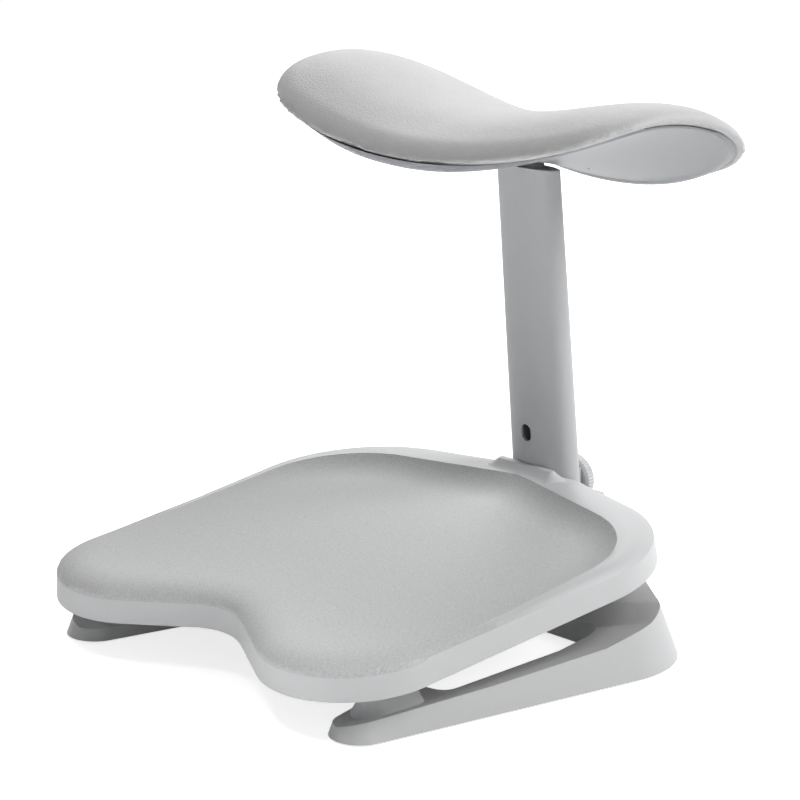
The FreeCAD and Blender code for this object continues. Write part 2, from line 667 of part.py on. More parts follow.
def pad_points():
    front = [Vector(side * size.pad_front_x, size.pad_front_y, 0) for side in RIGHT_AND_LEFT]
    rear = [Vector(side * size.pad_rear_x, size.pad_rear_y, 0) for side in RIGHT_AND_LEFT]
    return front + rear


def lock_hole(radius):
    """A round hole along the lock axis, from the post's rear face backwards."""
    return rod(radius, size.post_half_depth, FAR, Y_AXIS, Vector(0, 0, size.lock_height))


def post_socket():
    """A flanged sleeve round the post, with a tongue behind the post that holds the lock."""
    room = size.bush_fit + size.bush_wall + size.seat_fit
    half_depth = size.post_half_depth + room
    depth = size.socket_depth
    thick = size.flange_thickness
    back = size.tongue_back
    half_tongue = size.tongue_half_width
    sleeve = post_prism(-room - size.socket_wall, -depth, 0)
    low = stadium_prism(size.flange_half_width, size.flange_half_depth, -depth, thick - depth)
    high = stadium_prism(size.flange_half_width, size.flange_half_depth, -thick, 0)
    high = high.cut(block(Vector(-FAR, back, -FAR), Vector(FAR, FAR, FAR)))
    tongue = block(Vector(-half_tongue, half_depth, -depth / 2), Vector(half_tongue, back, 0))
    lug = block(
        Vector(-half_tongue, size.post_half_depth + size.collar_gap, 0),
        Vector(half_tongue, back, size.tongue_height))
    bore = post_prism(-room, -depth - 1, 0)
    holes = at_points(rod(size.screw_radius + size.seat_fit, -depth - 1, 1, Z_AXIS), flange_points)
    socket = sleeve.fuse([low, high, tongue]).cut([bore] + holes).fuse(lug)
    return socket.cut(lock_hole(size.guide_radius + size.seat_fit)).removeSplitter()


def guide_bush():
    low, high = -size.socket_depth + size.seat_fit, -size.seat_fit
    ring = post_prism(-size.bush_fit - size.bush_wall, low, high)
    bore = post_prism(-size.bush_fit, low - 1, high + 1)
    return ring.cut([bore, lock_hole(size.guide_radius + size.bush_fit)])


def post_end():
    """Where the post's axis meets its cut end."""
    return size.pivot_height - size.post_top_gap


def post_form(inset, extra=0.0):
    """The post's outline: straight in the socket, tapering above the collar, shrunk by inset."""
    top = post_end() + size.post_top_half_depth + extra
    return Part.makeLoft([
        post_oval(inset, -size.post_foot_depth - extra),
        post_oval(inset, size.lip_height),
        oval(size.post_top_half_width - inset, size.post_top_half_depth - inset,
             size.post_top_end_radius - inset, top),
    ], True, True)


def above_post_end(offset):
    """Everything above the post's cut end, raised by offset."""
    space = block(Vector(-FAR, -FAR, 0), Vector(FAR, FAR, FAR))
    space.Placement = Placement(Vector(0, 0, post_end() + offset), Rotation(X_AXIS, -size.post_top_slope))
    return space


def index_hole(height):
    """An oblong hole through the post's front and rear walls."""
    hole = stadium_prism(size.index_hole_length / 2, size.index_hole_width / 2, -FAR / 4, FAR / 4)
    hole.Placement = Placement(Vector(0, 0, height), Rotation(X_AXIS, 90).multiply(Rotation(Z_AXIS, 90)))
    return hole


def post_tube():
    tube = post_form(0).cut(post_form(size.post_wall, extra=1.0))
    holes = [index_hole(size.lock_height), index_hole(size.lock_height + size.travel)]
    return tube.cut(holes + [above_post_end(0)])


def post_foot():
    inset = size.post_wall + size.seat_fit
    end = -size.post_foot_depth
    cap = post_prism(size.seat_fit, end - size.foot_cap_thickness, end)
    plug = post_prism(inset, end, end + size.foot_plug_length)
    hollow = post_prism(2 * inset, end, end + size.foot_plug_length)
    return cap.fuse(plug).cut(hollow).removeSplitter()


def post_head():
    """A plug flush with the tube's cut end, and a stem with the knuckle of the tilt joint."""
    plug = post_form(size.post_wall + size.seat_fit).cut(above_post_end(0))
    foot = post_end() - size.head_plug_length
    plug = plug.cut(block(Vector(-FAR, -FAR, -FAR), Vector(FAR, FAR, foot)))
    half_width = size.knuckle_half_width
    half_depth = size.neck_block_half_depth
    stem = block(
        Vector(-half_width, -half_depth, post_end() - size.post_top_gap),
        Vector(half_width, half_depth, size.pivot_height))
    axis_at = Vector(0, 0, size.pivot_height)
    knuckle = rod(size.knuckle_radius, -half_width, half_width, X_AXIS, axis_at)
    bore = rod(size.pivot_pin_radius + size.pivot_fit, -half_width - 1, half_width + 1, X_AXIS, axis_at)
    return plug.fuse([stem, knuckle]).cut(bore).removeSplitter()


def lock_knob():
    """A crowned disc with a ribbed rim, hollow in front for the guide's neck and the pin's tail."""
    radius, thick, crown = size.knob_radius, size.knob_thickness, size.knob_crown
    low = size.tongue_back + size.knob_gap
    dome = 1.6
    points = [Vector(0, 0, 0), Vector(radius - crown, 0, 0), Vector(radius, 0, crown)]
    points += [Vector(radius, 0, thick - crown - dome), Vector(radius - crown, 0, thick - dome)]
    edges = [
        Part.LineSegment(points[0], points[1]).toShape(),
        Part.LineSegment(points[1], points[2]).toShape(),
        Part.LineSegment(points[2], points[3]).toShape(),
        Part.LineSegment(points[3], points[4]).toShape(),
        Part.Arc(points[4], Vector(radius * 0.5, 0, thick - dome * 0.3), Vector(0, 0, thick)).toShape(),
        Part.LineSegment(Vector(0, 0, thick), points[0]).toShape(),
    ]
    disc = Part.Face(Part.Wire(edges)).revolve(Vector(), Z_AXIS, 360)
    count = int(size.knob_ribs)
    ridge = []
    for i in range(2 * count):
        reach = radius if i % 2 else radius - size.knob_rib_depth
        angle = math.pi * i / count
        ridge.append(Vector(reach * math.cos(angle), reach * math.sin(angle), 0))
    ribbed = prism(Part.makePolygon(ridge + ridge[:1]), thick)
    knob = disc.common(ribbed)
    neck_end = size.guide_neck_length - size.knob_gap + size.bush_fit
    neck_room = rod(size.guide_neck_radius + size.lock_fit, -1, neck_end, Z_AXIS)
    tail_end = size.post_half_depth + size.lock_pin_standoff + size.lock_pin_length - low
    tail_room = rod(size.lock_pin_radius + size.bush_fit, -1, tail_end + 0.8, Z_AXIS)
    screw_seat = rod(size.lock_screw_radius + size.seat_fit, 0, tail_end + 2.5, Z_AXIS)
    knob = knob.cut([neck_room, tail_room, screw_seat])
    knob.translate(Vector(0, 0, low))
    return knob


# Moulded and cast pieces of the base.
keep("base_frame", base_frame())
keep("foot_plate", foot_plate(), plate_frame)
keep("post_socket", post_socket(), post_frame)
keep("guide_bush", guide_bush(), post_frame)
for name, point in zip(("front_right", "front_left", "rear_right", "rear_left"), pad_points()):
    keep_turned("pad_" + name, Placement(point, Rotation()), [
        ("0", "0"),
        ("Sizes.pad_radius - 1", "0"),
        ("Sizes.pad_radius", "1"),
        ("Sizes.pad_radius", "Sizes.pad_thickness"),
        ("0", "Sizes.pad_thickness"),
    ])
keep("neck_screws", Part.makeCompound(
    at_points(screw(size.neck_screw_grip, size.screw_bite), neck_screw_points)), plate_frame)
keep("collar_screws", Part.makeCompound(
    at_points(screw(size.flange_thickness, size.screw_bite), front_flange_points)), post_frame)
socket_screw = screw(size.flange_thickness, size.socket_screw_bite)
socket_screw.rotate(Vector(), X_AXIS, 180)
socket_screw.translate(Vector(0, 0, -size.socket_depth))
keep("socket_screws", Part.makeCompound(at_points(socket_screw, flange_points)), post_frame)

# The post and its two ends.
keep("post_tube", post_tube(), post_frame)
keep("post_foot", post_foot(), post_frame)
keep("post_head", post_head(), post_frame)

# The lock: a guide in the tongue, a thrust washer, the pin, and the knob with its lead screw.
TONGUE_BACK = "Sizes.tongue_back"
PIN_TIP = "Sizes.post_half_depth + Sizes.lock_pin_standoff"
PIN_END = PIN_TIP + " + Sizes.lock_pin_length"
keep_turned("lock_guide", lock_frame, [
    ("Sizes.lock_pin_radius + Sizes.lock_fit", "Sizes.post_half_depth + Sizes.collar_gap + 0.3"),
    ("Sizes.guide_radius", "Sizes.post_half_depth + Sizes.collar_gap + 0.3"),
    ("Sizes.guide_radius", TONGUE_BACK),
    ("Sizes.guide_neck_radius", TONGUE_BACK),
    ("Sizes.guide_neck_radius", TONGUE_BACK + " + Sizes.guide_neck_length"),
    ("Sizes.lock_pin_radius + Sizes.lock_fit", TONGUE_BACK + " + Sizes.guide_neck_length"),
])
keep_turned("knob_washer", lock_frame, [
    ("Sizes.guide_neck_radius + Sizes.seat_fit", TONGUE_BACK),
    ("Sizes.knob_washer_radius", TONGUE_BACK),
    ("Sizes.knob_washer_radius", TONGUE_BACK + " + Sizes.knob_gap - Sizes.seat_fit"),
    ("Sizes.guide_neck_radius + Sizes.seat_fit", TONGUE_BACK + " + Sizes.knob_gap - Sizes.seat_fit"),
])
keep_turned("lock_pin", lock_frame, [
    ("0", PIN_TIP),
    ("Sizes.lock_pin_radius - 1", PIN_TIP),
    ("Sizes.lock_pin_radius", PIN_TIP + " + 1"),
    ("Sizes.lock_pin_radius", PIN_END),
    ("Sizes.lock_screw_radius + Sizes.lock_fit", PIN_END),
    ("Sizes.lock_screw_radius + Sizes.lock_fit", PIN_END + " - Sizes.lock_bore_depth"),
    ("0", PIN_END + " - Sizes.lock_bore_depth"),
])
keep_turned("lock_screw", lock_frame, [
    ("0", PIN_END + " - Sizes.lock_bore_depth + 0.5"),
    ("Sizes.lock_screw_radius", PIN_END + " - Sizes.lock_bore_depth + 0.5"),
    ("Sizes.lock_screw_radius", PIN_END + " + 2.4"),
    ("0", PIN_END + " + 2.4"),
])
keep("lock_knob", lock_knob(), lock_frame)


def outline_reach(x, scale=1.0):
    """Front and rear edges of the saddle's scaled outline at x."""
    share = min(abs(x) / (scale * size.saddle_half_length), 1.0)
    front = (1 - share ** size.saddle_front_power) ** (1 / size.saddle_front_power)
    rear = (1 - share ** size.saddle_rear_power) ** (1 / size.saddle_rear_power)
    return -scale * size.saddle_front * front, scale * size.saddle_rear * rear


def outline_share(x, y):
    """How far a point lies from the saddle's middle (0) towards its outline (1)."""
    reach, power = (size.saddle_front, size.saddle_front_power)
    if y > 0:
        reach, power = (size.saddle_rear, size.saddle_rear_power)
    across = abs(x) / size.saddle_half_length
    return min((across ** power + (abs(y) / reach) ** power) ** (1 / power), 1.0)


def middle_height(x, y):
    """The saddle's middle surface: ends raised, front and rear edges falling."""
    across = abs(x) / size.saddle_half_length
    fall = size.front_droop * (y / size.saddle_front) ** 2
    if y > 0:
        fall = size.rear_droop * (y / size.saddle_rear) ** 2
    rise = size.saddle_lift * across ** 2 - size.saddle_level * across ** 4
    return rise - fall * (1 + size.end_droop * across ** 2)


def top_height(x, y):
    return middle_height(x, y) + size.cushion_crown * math.sqrt(1 - outline_share(x, y) ** 4)


def belly_height(x, y):
    belly = size.shell_depth - size.shell_edge_depth
    return middle_height(x, y) - size.shell_edge_depth - belly * (1 - outline_share(x, y) ** 2) ** 0.7


def saddle_arc(x, front, rear, height):
    """An arc across the saddle at x, from front to rear, on a height function."""
    middle = (front + rear) / 2
    ends = [Vector(x, y, height(x, y)) for y in (front, middle, rear)]
    return Part.Arc(*ends).toShape()


def edge_tip(x, reach):
    """The outermost point of the saddle's rounded edge, where the cushion's side meets the ledge."""
    across = abs(x) / size.saddle_half_length
    crown = top_height(x, 0) - middle_height(x, 0)
    nose = crown * (size.seam_lift + size.seam_end_lift * across ** 8)
    return Vector(x, reach, middle_height(x, reach) + nose)


def ledge_point(x, reach):
    """The inner end of the ledge on which the cushion's edge rests."""
    inner = reach * size.ledge_scale
    return Vector(x, inner, middle_height(x, inner))


def cushion_section(x):
    """A crowned section: an arc over the top, a rounded side at either end, a ledge and an arc beneath."""
    front, rear = outline_reach(x)
    shoulder = min(size.cushion_shoulder, (rear - front) / 6)
    edges = [saddle_arc(x, front + shoulder, rear - shoulder, top_height)]
    for reach, inward in ((rear, -1), (front, 1)):
        upper, turn = [
            Vector(x, reach + inward * share * shoulder, top_height(x, reach + inward * share * shoulder))
            for share in (1.0, 0.25)
        ]
        tip = edge_tip(x, reach)
        edges.append(Part.Arc(upper, turn, tip).toShape())
        edges.append(Part.LineSegment(tip, ledge_point(x, reach)).toShape())
    edges.append(saddle_arc(x, front * size.ledge_scale, rear * size.ledge_scale, middle_height))
    return Part.Wire(Part.__sortEdges__(edges))


def shell_section(x):
    """The shell under the cushion: ledges along its edges, rolled sides and a shallow belly."""
    front, rear = outline_reach(x)
    inner = size.cavity_scale
    fullness = size.shell_roll * (1 - size.shell_roll_fade * (x / size.saddle_half_length) ** 2)
    edges = [saddle_arc(x, front * size.ledge_scale, rear * size.ledge_scale, under_gap)]
    for reach in (front, rear):
        tip, ledge = edge_tip(x, reach), ledge_point(x, reach)
        ledge.z = under_gap(x, ledge.y)
        seam = tip + (ledge - tip) * size.seam_inset - Z_AXIS * size.seam_gap
        side = Vector(x, reach * inner, belly_height(x, reach * inner))
        roll = (seam + side) * 0.5 - Z_AXIS * (fullness * seam.distanceToPoint(side))
        edges.append(Part.LineSegment(ledge, seam).toShape())
        edges.append(Part.Arc(seam, roll, side).toShape())
    edges.append(saddle_arc(x, front * inner, rear * inner, belly_height))
    return Part.Wire(Part.__sortEdges__(edges))


def layer_section(x, scale, upper, lower):
    """A section of a curved layer between two height functions, over the scaled outline."""
    front, rear = outline_reach(x)
    top = saddle_arc(x, front * scale, rear * scale, upper)
    under = saddle_arc(x, front * scale, rear * scale, lower)
    edges = [top, under]
    for edge in (0, 1):
        edges.append(Part.LineSegment(top.Vertexes[edge].Point, under.Vertexes[edge].Point).toShape())
    return Part.Wire(Part.__sortEdges__(edges))


STATIONS = (0.0, 0.3, 0.55, 0.75, 0.89, 0.965, 0.993)


def across_saddle(section):
    """A smooth loft of sections from the left end of the saddle to the right end."""
    right = [share * size.saddle_half_length for share in STATIONS]
    places = [-x for x in reversed(right[1:])] + right
    return Part.makeLoft([section(x) for x in places], True, False)


def plan_prism(scale):
    """An upright prism on the saddle's scaled outline."""
    points = []
    count = 48
    for i in range(count):
        angle = 2 * math.pi * i / count
        power = size.saddle_front_power if math.sin(angle) < 0 else size.saddle_rear_power
        depth = size.saddle_front if math.sin(angle) < 0 else size.saddle_rear
        across = math.copysign(abs(math.cos(angle)) ** (2 / power), math.cos(angle))
        along = math.copysign(abs(math.sin(angle)) ** (2 / power), math.sin(angle))
        points.append(Vector(scale * size.saddle_half_length * across, scale * depth * along, -FAR / 2))
    curve = Part.BSplineCurve()
    curve.interpolate(points, PeriodicFlag=True)
    return prism(Part.Wire(curve.toShape()), FAR)


def layer(scale, trim, upper, lower):
    """A curved layer between two height functions over the scaled outline, trimmed to a smaller one."""
    return across_saddle(lambda x: layer_section(x, scale, upper, lower)).common(plan_prism(trim))


def under_gap(x, y):
    """Just under the cushion, with more room towards the ends, where the curves are tight."""
    across = abs(x) / size.saddle_half_length
    return middle_height(x, y) - size.layer_gap * (1 + 2 * across ** 8)


def cavity_floor(x, y):
    return belly_height(x, y) + size.shell_wall


def board_under(x, y):
    return middle_height(x, y) - size.layer_gap - size.board_thickness


def cavity_floor_gap(x, y):
    return cavity_floor(x, y) + size.layer_gap


def high_above(x, y):
    return middle_height(x, y) + size.cushion_crown


def deep_below(x, y):
    return belly_height(x, y) - FAR / 4


pivot_local = Vector(0, size.saddle_forward, size.saddle_drop)
ear_inner = size.knuckle_half_width + size.washer_thickness + 2 * size.seat_fit
ear_outer = ear_inner + size.ear_thickness
shell_screw_points = []
for side in RIGHT_AND_LEFT:
    for along in RIGHT_AND_LEFT:
        along_saddle = size.saddle_forward + along * size.shell_screw_y
        shell_screw_points.append((side * size.shell_screw_x, along_saddle))


def hinge_room(margin):
    """Room round the knuckle and the ears, from below the board to above the ears."""
    half_width = ear_outer + size.clip_thickness + margin
    half_depth = size.knuckle_radius + margin
    return block(
        pivot_local - Vector(half_width, half_depth, size.shell_depth),
        pivot_local + Vector(half_width, half_depth, half_depth))


def saddle_cushion():
    return across_saddle(cushion_section).cut(hinge_room(2.0))


def head_opening(low):
    """The slot through which the post's head reaches the tilt joint."""
    lean = math.tan(math.radians(size.incline + size.saddle_tilt)) * size.shell_depth
    half_width, half_depth = size.opening_half_width, size.opening_half_depth
    shift = Vector(0, lean * 0.9, 0)
    return block(
        pivot_local + shift - Vector(half_width, half_depth, low),
        pivot_local + shift + Vector(half_width, half_depth, -size.saddle_drop))


def saddle_shell():
    shell = across_saddle(shell_section)
    cavity = layer(size.cavity_scale, size.hollow_scale, high_above, cavity_floor)
    shell = shell.cut([cavity, head_opening(4 * size.shell_depth)])
    screw_hole = rod(size.shell_screw_radius + size.seat_fit, -FAR / 4, FAR / 4, Z_AXIS)
    return shell.cut(at_points(screw_hole, [Vector(x, y, 0) for x, y in shell_screw_points]))


def saddle_board():
    """The cushion's board, with the ears of the tilt joint and the bosses for the shell screws."""
    board = layer(size.ledge_scale, size.board_scale, under_gap, board_under)
    bosses = []
    holes = [rod(size.pivot_pin_radius + size.pivot_fit, -FAR, FAR, X_AXIS, pivot_local)]
    for x, y in shell_screw_points:
        foot = cavity_floor(x, y)
        head = under_gap(x, y)
        at = Vector(x, y, 0)
        boss_radius, hole_radius = 2.4 * size.shell_screw_radius, size.shell_screw_radius + size.seat_fit
        bosses.append(rod(boss_radius, foot - 2, head - size.board_thickness / 2, Z_AXIS, at))
        holes.append(rod(hole_radius, foot - 3, head - 1, Z_AXIS, at))
    ears = []
    clip_room = size.clip_radius + 1.0
    for side in RIGHT_AND_LEFT:
        low, high = sorted((side * ear_inner, side * ear_outer))
        ears.append(rod(size.knuckle_radius, low, high, X_AXIS, pivot_local))
        low, high = sorted((side * ear_outer, side * (ear_outer + size.clip_thickness + 2)))
        holes.append(rod(clip_room, low, high, X_AXIS, pivot_local))
    slot = hinge_room(1.0).common(block(Vector(-ear_inner, -FAR, -FAR), Vector(ear_inner, FAR, FAR)))
    slot = slot.fuse(head_opening(size.shell_depth))
    shell_room = across_saddle(
        lambda x: layer_section(x, size.cavity_scale, cavity_floor_gap, deep_below))
    board = board.cut(slot).fuse(bosses + ears)
    return board.cut(holes + [shell_room]).removeSplitter()


def shell_screws():
    screws = []
    for x, y in shell_screw_points:
        head = cavity_floor(x, y) - size.shell_wall + 0.4
        tip = under_gap(x, y) - 1.4
        screws.append(rod(size.shell_screw_radius, head, tip, Z_AXIS, Vector(x, y, 0)))
    return Part.makeCompound(screws)


def rings(inner, outer, start, end):
    """A pair of flat rings on the tilt axis, one on either side."""
    pair = []
    for side in RIGHT_AND_LEFT:
        low, high = sorted((side * start, side * end))
        ring = rod(outer, low, high, X_AXIS, pivot_local)
        pair.append(ring.cut(rod(inner, low - 1, high + 1, X_AXIS, pivot_local)))
    return Part.makeCompound(pair)


# The saddle and its tilt joint.
keep("saddle_cushion", saddle_cushion(), saddle_frame)
keep("saddle_shell", saddle_shell(), saddle_frame)
keep("saddle_board", saddle_board(), saddle_frame)
keep("shell_screws", shell_screws(), saddle_frame)
pin_half = ear_outer + size.clip_thickness + 2 * size.seat_fit
keep("tilt_pin", rod(size.pivot_pin_radius, -pin_half - 1, pin_half + 1, X_AXIS, pivot_local), saddle_frame)
washer_start = size.knuckle_half_width + size.seat_fit
keep("friction_washers", rings(
    size.pivot_pin_radius + size.seat_fit, size.washer_radius,
    washer_start, washer_start + size.washer_thickness), saddle_frame)
clip_start = ear_outer + size.seat_fit
keep("pin_clips", rings(
    size.pivot_pin_radius + size.seat_fit / 2, size.clip_radius,
    clip_start, clip_start + size.clip_thickness), saddle_frame)

doc.recompute()
for item in doc.Objects:
    if {"Invalid", "Error"} & set(item.State):
        raise RuntimeError(f"{item.Label} failed to build: {item.State}")
for node in nodes:
    if node.Shape.isNull() or not node.Shape.isValid():
        raise RuntimeError(f"{node.Label} has no valid shape")

os.makedirs("parts", exist_ok=True)
for node in nodes:
    node.Shape.exportStep(f"parts/{node.Label}.step")
    box = node.Shape.BoundBox
    print(f"{node.Label}: {len(node.Shape.Solids)} solids, {node.Shape.Volume / 1000:.1f} cm3,"
          f" X {box.XMin:.1f}..{box.XMax:.1f} Y {box.YMin:.1f}..{box.YMax:.1f}"
          f" Z {box.ZMin:.1f}..{box.ZMax:.1f}")
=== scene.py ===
# %% [markdown]
# # A footrest with a calf saddle
# The object is a tray for two feet on a low floor frame, with a post behind it that carries a soft
# saddle for the calves. The construction model already gives every rigid piece its shape and place.
# This lesson gives them their looks, makes the cushion, and sets up a camera and studio light.

# %% Load the construction model
import json
import math

import bmesh
import bpy
from mathutils import Matrix, Vector, kdtree


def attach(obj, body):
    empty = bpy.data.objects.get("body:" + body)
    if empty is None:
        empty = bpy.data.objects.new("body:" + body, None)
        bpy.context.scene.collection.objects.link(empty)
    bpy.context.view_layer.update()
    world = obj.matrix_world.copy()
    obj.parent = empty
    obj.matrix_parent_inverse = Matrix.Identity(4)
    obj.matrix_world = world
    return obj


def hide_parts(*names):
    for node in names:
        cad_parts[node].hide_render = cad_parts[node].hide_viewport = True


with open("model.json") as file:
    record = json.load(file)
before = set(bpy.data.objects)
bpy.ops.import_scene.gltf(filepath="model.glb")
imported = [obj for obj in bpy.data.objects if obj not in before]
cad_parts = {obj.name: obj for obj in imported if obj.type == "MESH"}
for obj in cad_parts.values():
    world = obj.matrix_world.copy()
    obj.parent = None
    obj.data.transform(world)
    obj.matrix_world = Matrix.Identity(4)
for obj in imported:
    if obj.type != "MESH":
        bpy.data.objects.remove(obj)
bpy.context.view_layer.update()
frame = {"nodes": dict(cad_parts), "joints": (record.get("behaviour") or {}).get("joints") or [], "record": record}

MM = 0.001
nodes = frame["nodes"]

# %% [markdown]
# ## Camera
# The object is seen from its front right corner and from a little above. A short lens close by would
# blow up the near toe, so the camera stands well back with a long lens, which keeps the proportions of
# near and far parts alike. It is turned about Z, then tipped down, and never rolled, so uprights that
# stand straight stay straight.

# %% Camera
CAMERA_TURN = math.radians(46.0)
CAMERA_TIP = math.radians(15.866)
CAMERA_PLACE = Vector((1.8645, -1.8072, 0.9295))
CAMERA_LENS = 149.6
SENSOR_WIDTH = 36.0
VIEW_END = 50.0

camera_data = bpy.data.cameras.new("Camera")
camera_data.lens = CAMERA_LENS
camera_data.sensor_width = SENSOR_WIDTH
camera_data.clip_end = VIEW_END
camera = bpy.data.objects.new("Camera", camera_data)
camera.location = CAMERA_PLACE
camera.rotation_euler = (math.pi / 2 - CAMERA_TIP, 0.0, CAMERA_TURN)
bpy.context.scene.collection.objects.link(camera)
bpy.context.scene.camera = camera
print("camera at", tuple(CAMERA_PLACE), "lens", CAMERA_LENS, "mm")

# %% [markdown]
# ## Node helpers
# Every finish below is a small node tree round a Principled shader. Building each tree by hand repeats
# the same few moves, so they become helpers: add a node, read a pattern in Object coordinates, stretch
# a pattern over a range of numbers or colours, and turn it into relief. Object coordinates are in
# metres here, so a pattern's scale is about one over the size of its grain in metres. Most of a noise
# lies between two middling numbers, so these two are stretched apart to use it fully.

# %% Node helpers
PATTERN_LOW = 0.3
PATTERN_HIGH = 0.7


def new_finish(name, colour, roughness, shine):
    """A material with a Principled shader and its even numbers set on the sockets."""
    material = bpy.data.materials.new(name)
    material.use_nodes = True
    shader = material.node_tree.nodes["Principled BSDF"]
    shader.inputs["Base Color"].default_value = (*colour, 1.0)
    shader.inputs["Roughness"].default_value = roughness
    shader.inputs["Specular IOR Level"].default_value = shine
    return material, material.node_tree, shader


def add_node(tree, kind, **settings):
    """Adds a node; each setting is an input socket's name or a property of the node."""
    node = tree.nodes.new(kind)
    for key, value in settings.items():
        if key in node.inputs:
            node.inputs[key].default_value = value
        else:
            setattr(node, key, value)
    return node


def object_space(tree, stretch=(1.0, 1.0, 1.0)):
    """Object coordinates, with each axis stretched to lengthen a pattern along another one."""
    place = add_node(tree, "ShaderNodeTexCoord")
    mapping = add_node(tree, "ShaderNodeMapping", Scale=stretch)
    tree.links.new(place.outputs["Object"], mapping.inputs["Vector"])
    return mapping.outputs["Vector"]


def noise(tree, grain, detail=2.0, stretch=(1.0, 1.0, 1.0)):
    """A soft random pattern whose grains are about this many metres across."""
    pattern = add_node(tree, "ShaderNodeTexNoise", Scale=1.0 / grain, Detail=detail)
    tree.links.new(object_space(tree, stretch), pattern.inputs["Vector"])
    return pattern.outputs["Fac"]


def spread(tree, pattern, low, high):
    """Stretches the middle of a pattern over the numbers low to high."""
    numbers = add_node(tree, "ShaderNodeMapRange")
    numbers.inputs["From Min"].default_value = PATTERN_LOW
    numbers.inputs["From Max"].default_value = PATTERN_HIGH
    numbers.inputs["To Min"].default_value = low
    numbers.inputs["To Max"].default_value = high
    tree.links.new(pattern, numbers.inputs["Value"])
    return numbers.outputs["Result"]


def tint(tree, pattern, colour, contrast):
    """The colour, made darker and lighter by the pattern: contrast is the share either way."""
    shades = add_node(tree, "ShaderNodeValToRGB")
    dark, light = shades.color_ramp.elements
    dark.position = PATTERN_LOW
    light.position = PATTERN_HIGH
    dark.color = (*[channel * (1.0 - contrast) for channel in colour], 1.0)
    light.color = (*[channel * (1.0 + contrast) for channel in colour], 1.0)
    tree.links.new(pattern, shades.inputs["Fac"])
    return shades.outputs["Color"]


def relief(tree, shader, pattern, depth, strength):
    """Raises the surface by up to depth metres where the pattern is light."""
    bump = add_node(tree, "ShaderNodeBump", Strength=strength, Distance=depth)
    tree.links.new(pattern, bump.inputs["Height"])
    tree.links.new(bump.outputs["Normal"], shader.inputs["Normal"])


# %% [markdown]
# ## The cushion's cover
# The cover is a soft coated fabric with a fine leather grain: small pebbles, a millimetre or two
# across, with pores between them. An image of leather would need a UV map and would repeat. A Voronoi
# pattern gives the pebbles instead, bent a little by a noise so that no two are alike, and a finer
# noise gives the pores. Both go into one relief, so light brings the grain out where it grazes.

# %% Cushion cover
PEBBLE = 1.4 * MM
PEBBLE_BEND = 0.65 * MM
PEBBLE_DEPTH = 0.42 * MM
PEBBLE_SOFTNESS = 0.3
BENDS_PER_PEBBLE = 0.6
PORE = 0.6 * MM
PORE_SHARE = 0.3
PORE_ROUGHNESS = (0.52, 0.66)
COVER_ROUGHNESS = 0.58
COVER_SHINE = 0.38
COVER_SHEEN = 0.08
COVER_SHEEN_ROUGHNESS = 0.5
COVER_RELIEF = 0.85
COVER_CLOUD = 30.0 * MM
COVER_CONTRAST = 0.02


def cushion_cover(colour):
    material, tree, shader = new_finish("cushion_cover", colour, COVER_ROUGHNESS, COVER_SHINE)
    shader.inputs["Sheen Weight"].default_value = COVER_SHEEN
    shader.inputs["Sheen Roughness"].default_value = COVER_SHEEN_ROUGHNESS
    wander = add_node(tree, "ShaderNodeTexNoise", Scale=BENDS_PER_PEBBLE / PEBBLE, Detail=1.0)
    tree.links.new(object_space(tree), wander.inputs["Vector"])
    bent = add_node(tree, "ShaderNodeVectorMath", operation="MULTIPLY_ADD")
    bent.inputs[1].default_value = (PEBBLE_BEND, PEBBLE_BEND, PEBBLE_BEND)
    tree.links.new(wander.outputs["Color"], bent.inputs[0])
    tree.links.new(object_space(tree), bent.inputs[2])
    pebbles = add_node(tree, "ShaderNodeTexVoronoi", feature="SMOOTH_F1", Scale=1.0 / PEBBLE)
    pebbles.inputs["Smoothness"].default_value = PEBBLE_SOFTNESS
    tree.links.new(bent.outputs["Vector"], pebbles.inputs["Vector"])
    pores = noise(tree, PORE)
    height = add_node(tree, "ShaderNodeMath", operation="MULTIPLY_ADD")
    height.inputs[1].default_value = PORE_SHARE
    tree.links.new(pores, height.inputs[0])
    rounded = add_node(tree, "ShaderNodeMath", operation="SUBTRACT")
    rounded.inputs[0].default_value = 1.0
    tree.links.new(pebbles.outputs["Distance"], rounded.inputs[1])
    tree.links.new(rounded.outputs[0], height.inputs[2])
    relief(tree, shader, height.outputs[0], PEBBLE_DEPTH, COVER_RELIEF)
    clouds = noise(tree, COVER_CLOUD)
    tree.links.new(tint(tree, clouds, colour, COVER_CONTRAST), shader.inputs["Base Color"])
    tree.links.new(spread(tree, pores, *PORE_ROUGHNESS), shader.inputs["Roughness"])
    return material


# %% [markdown]
# ## Mouldings, coats and metals
# All the rigid pieces are light greys, and only their surface tells them apart. The shell under the saddle is the
# one exception: its grey is darkened as painted shade, for the shade it lies in under the saddle. A show face is a
# satin moulding, the tray and the frame's top are grained against slipping, and the post has a powder coat.
# One function serves all of them: a fine noise is used three times, for the relief, for a slight change
# of tone and for the roughness, so the grain is seen as well as felt.

# %% Mouldings and coats
MOULDING_SHINE = 0.4
MOULDING_RELIEF = 0.7
SMOOTHER = 0.05
ROUGHER = 0.07


def moulding(name, colour, roughness, grain, depth, contrast):
    """A moulded or coated surface: grain and depth in metres, contrast of its speckle as a share."""
    material, tree, shader = new_finish(name, colour, roughness, MOULDING_SHINE)
    texture = noise(tree, grain)
    relief(tree, shader, texture, depth, MOULDING_RELIEF)
    tree.links.new(tint(tree, texture, colour, contrast), shader.inputs["Base Color"])
    uneven = spread(tree, texture, roughness - SMOOTHER, roughness + ROUGHER)
    tree.links.new(uneven, shader.inputs["Roughness"])
    return material


# %% Bare metals
LATHE_LINES = (1.0, 1.0, 9.0)
LATHE_PITCH = 1.2 * MM
LATHE_DETAIL = 3.0
LATHE_DEPTH = 0.03 * MM
LATHE_RELIEF = 0.4
LATHE_CONTRAST = 0.05
LATHE_SMOOTHER = 0.07
LATHE_ROUGHER = 0.09
METAL_SHINE = 0.5


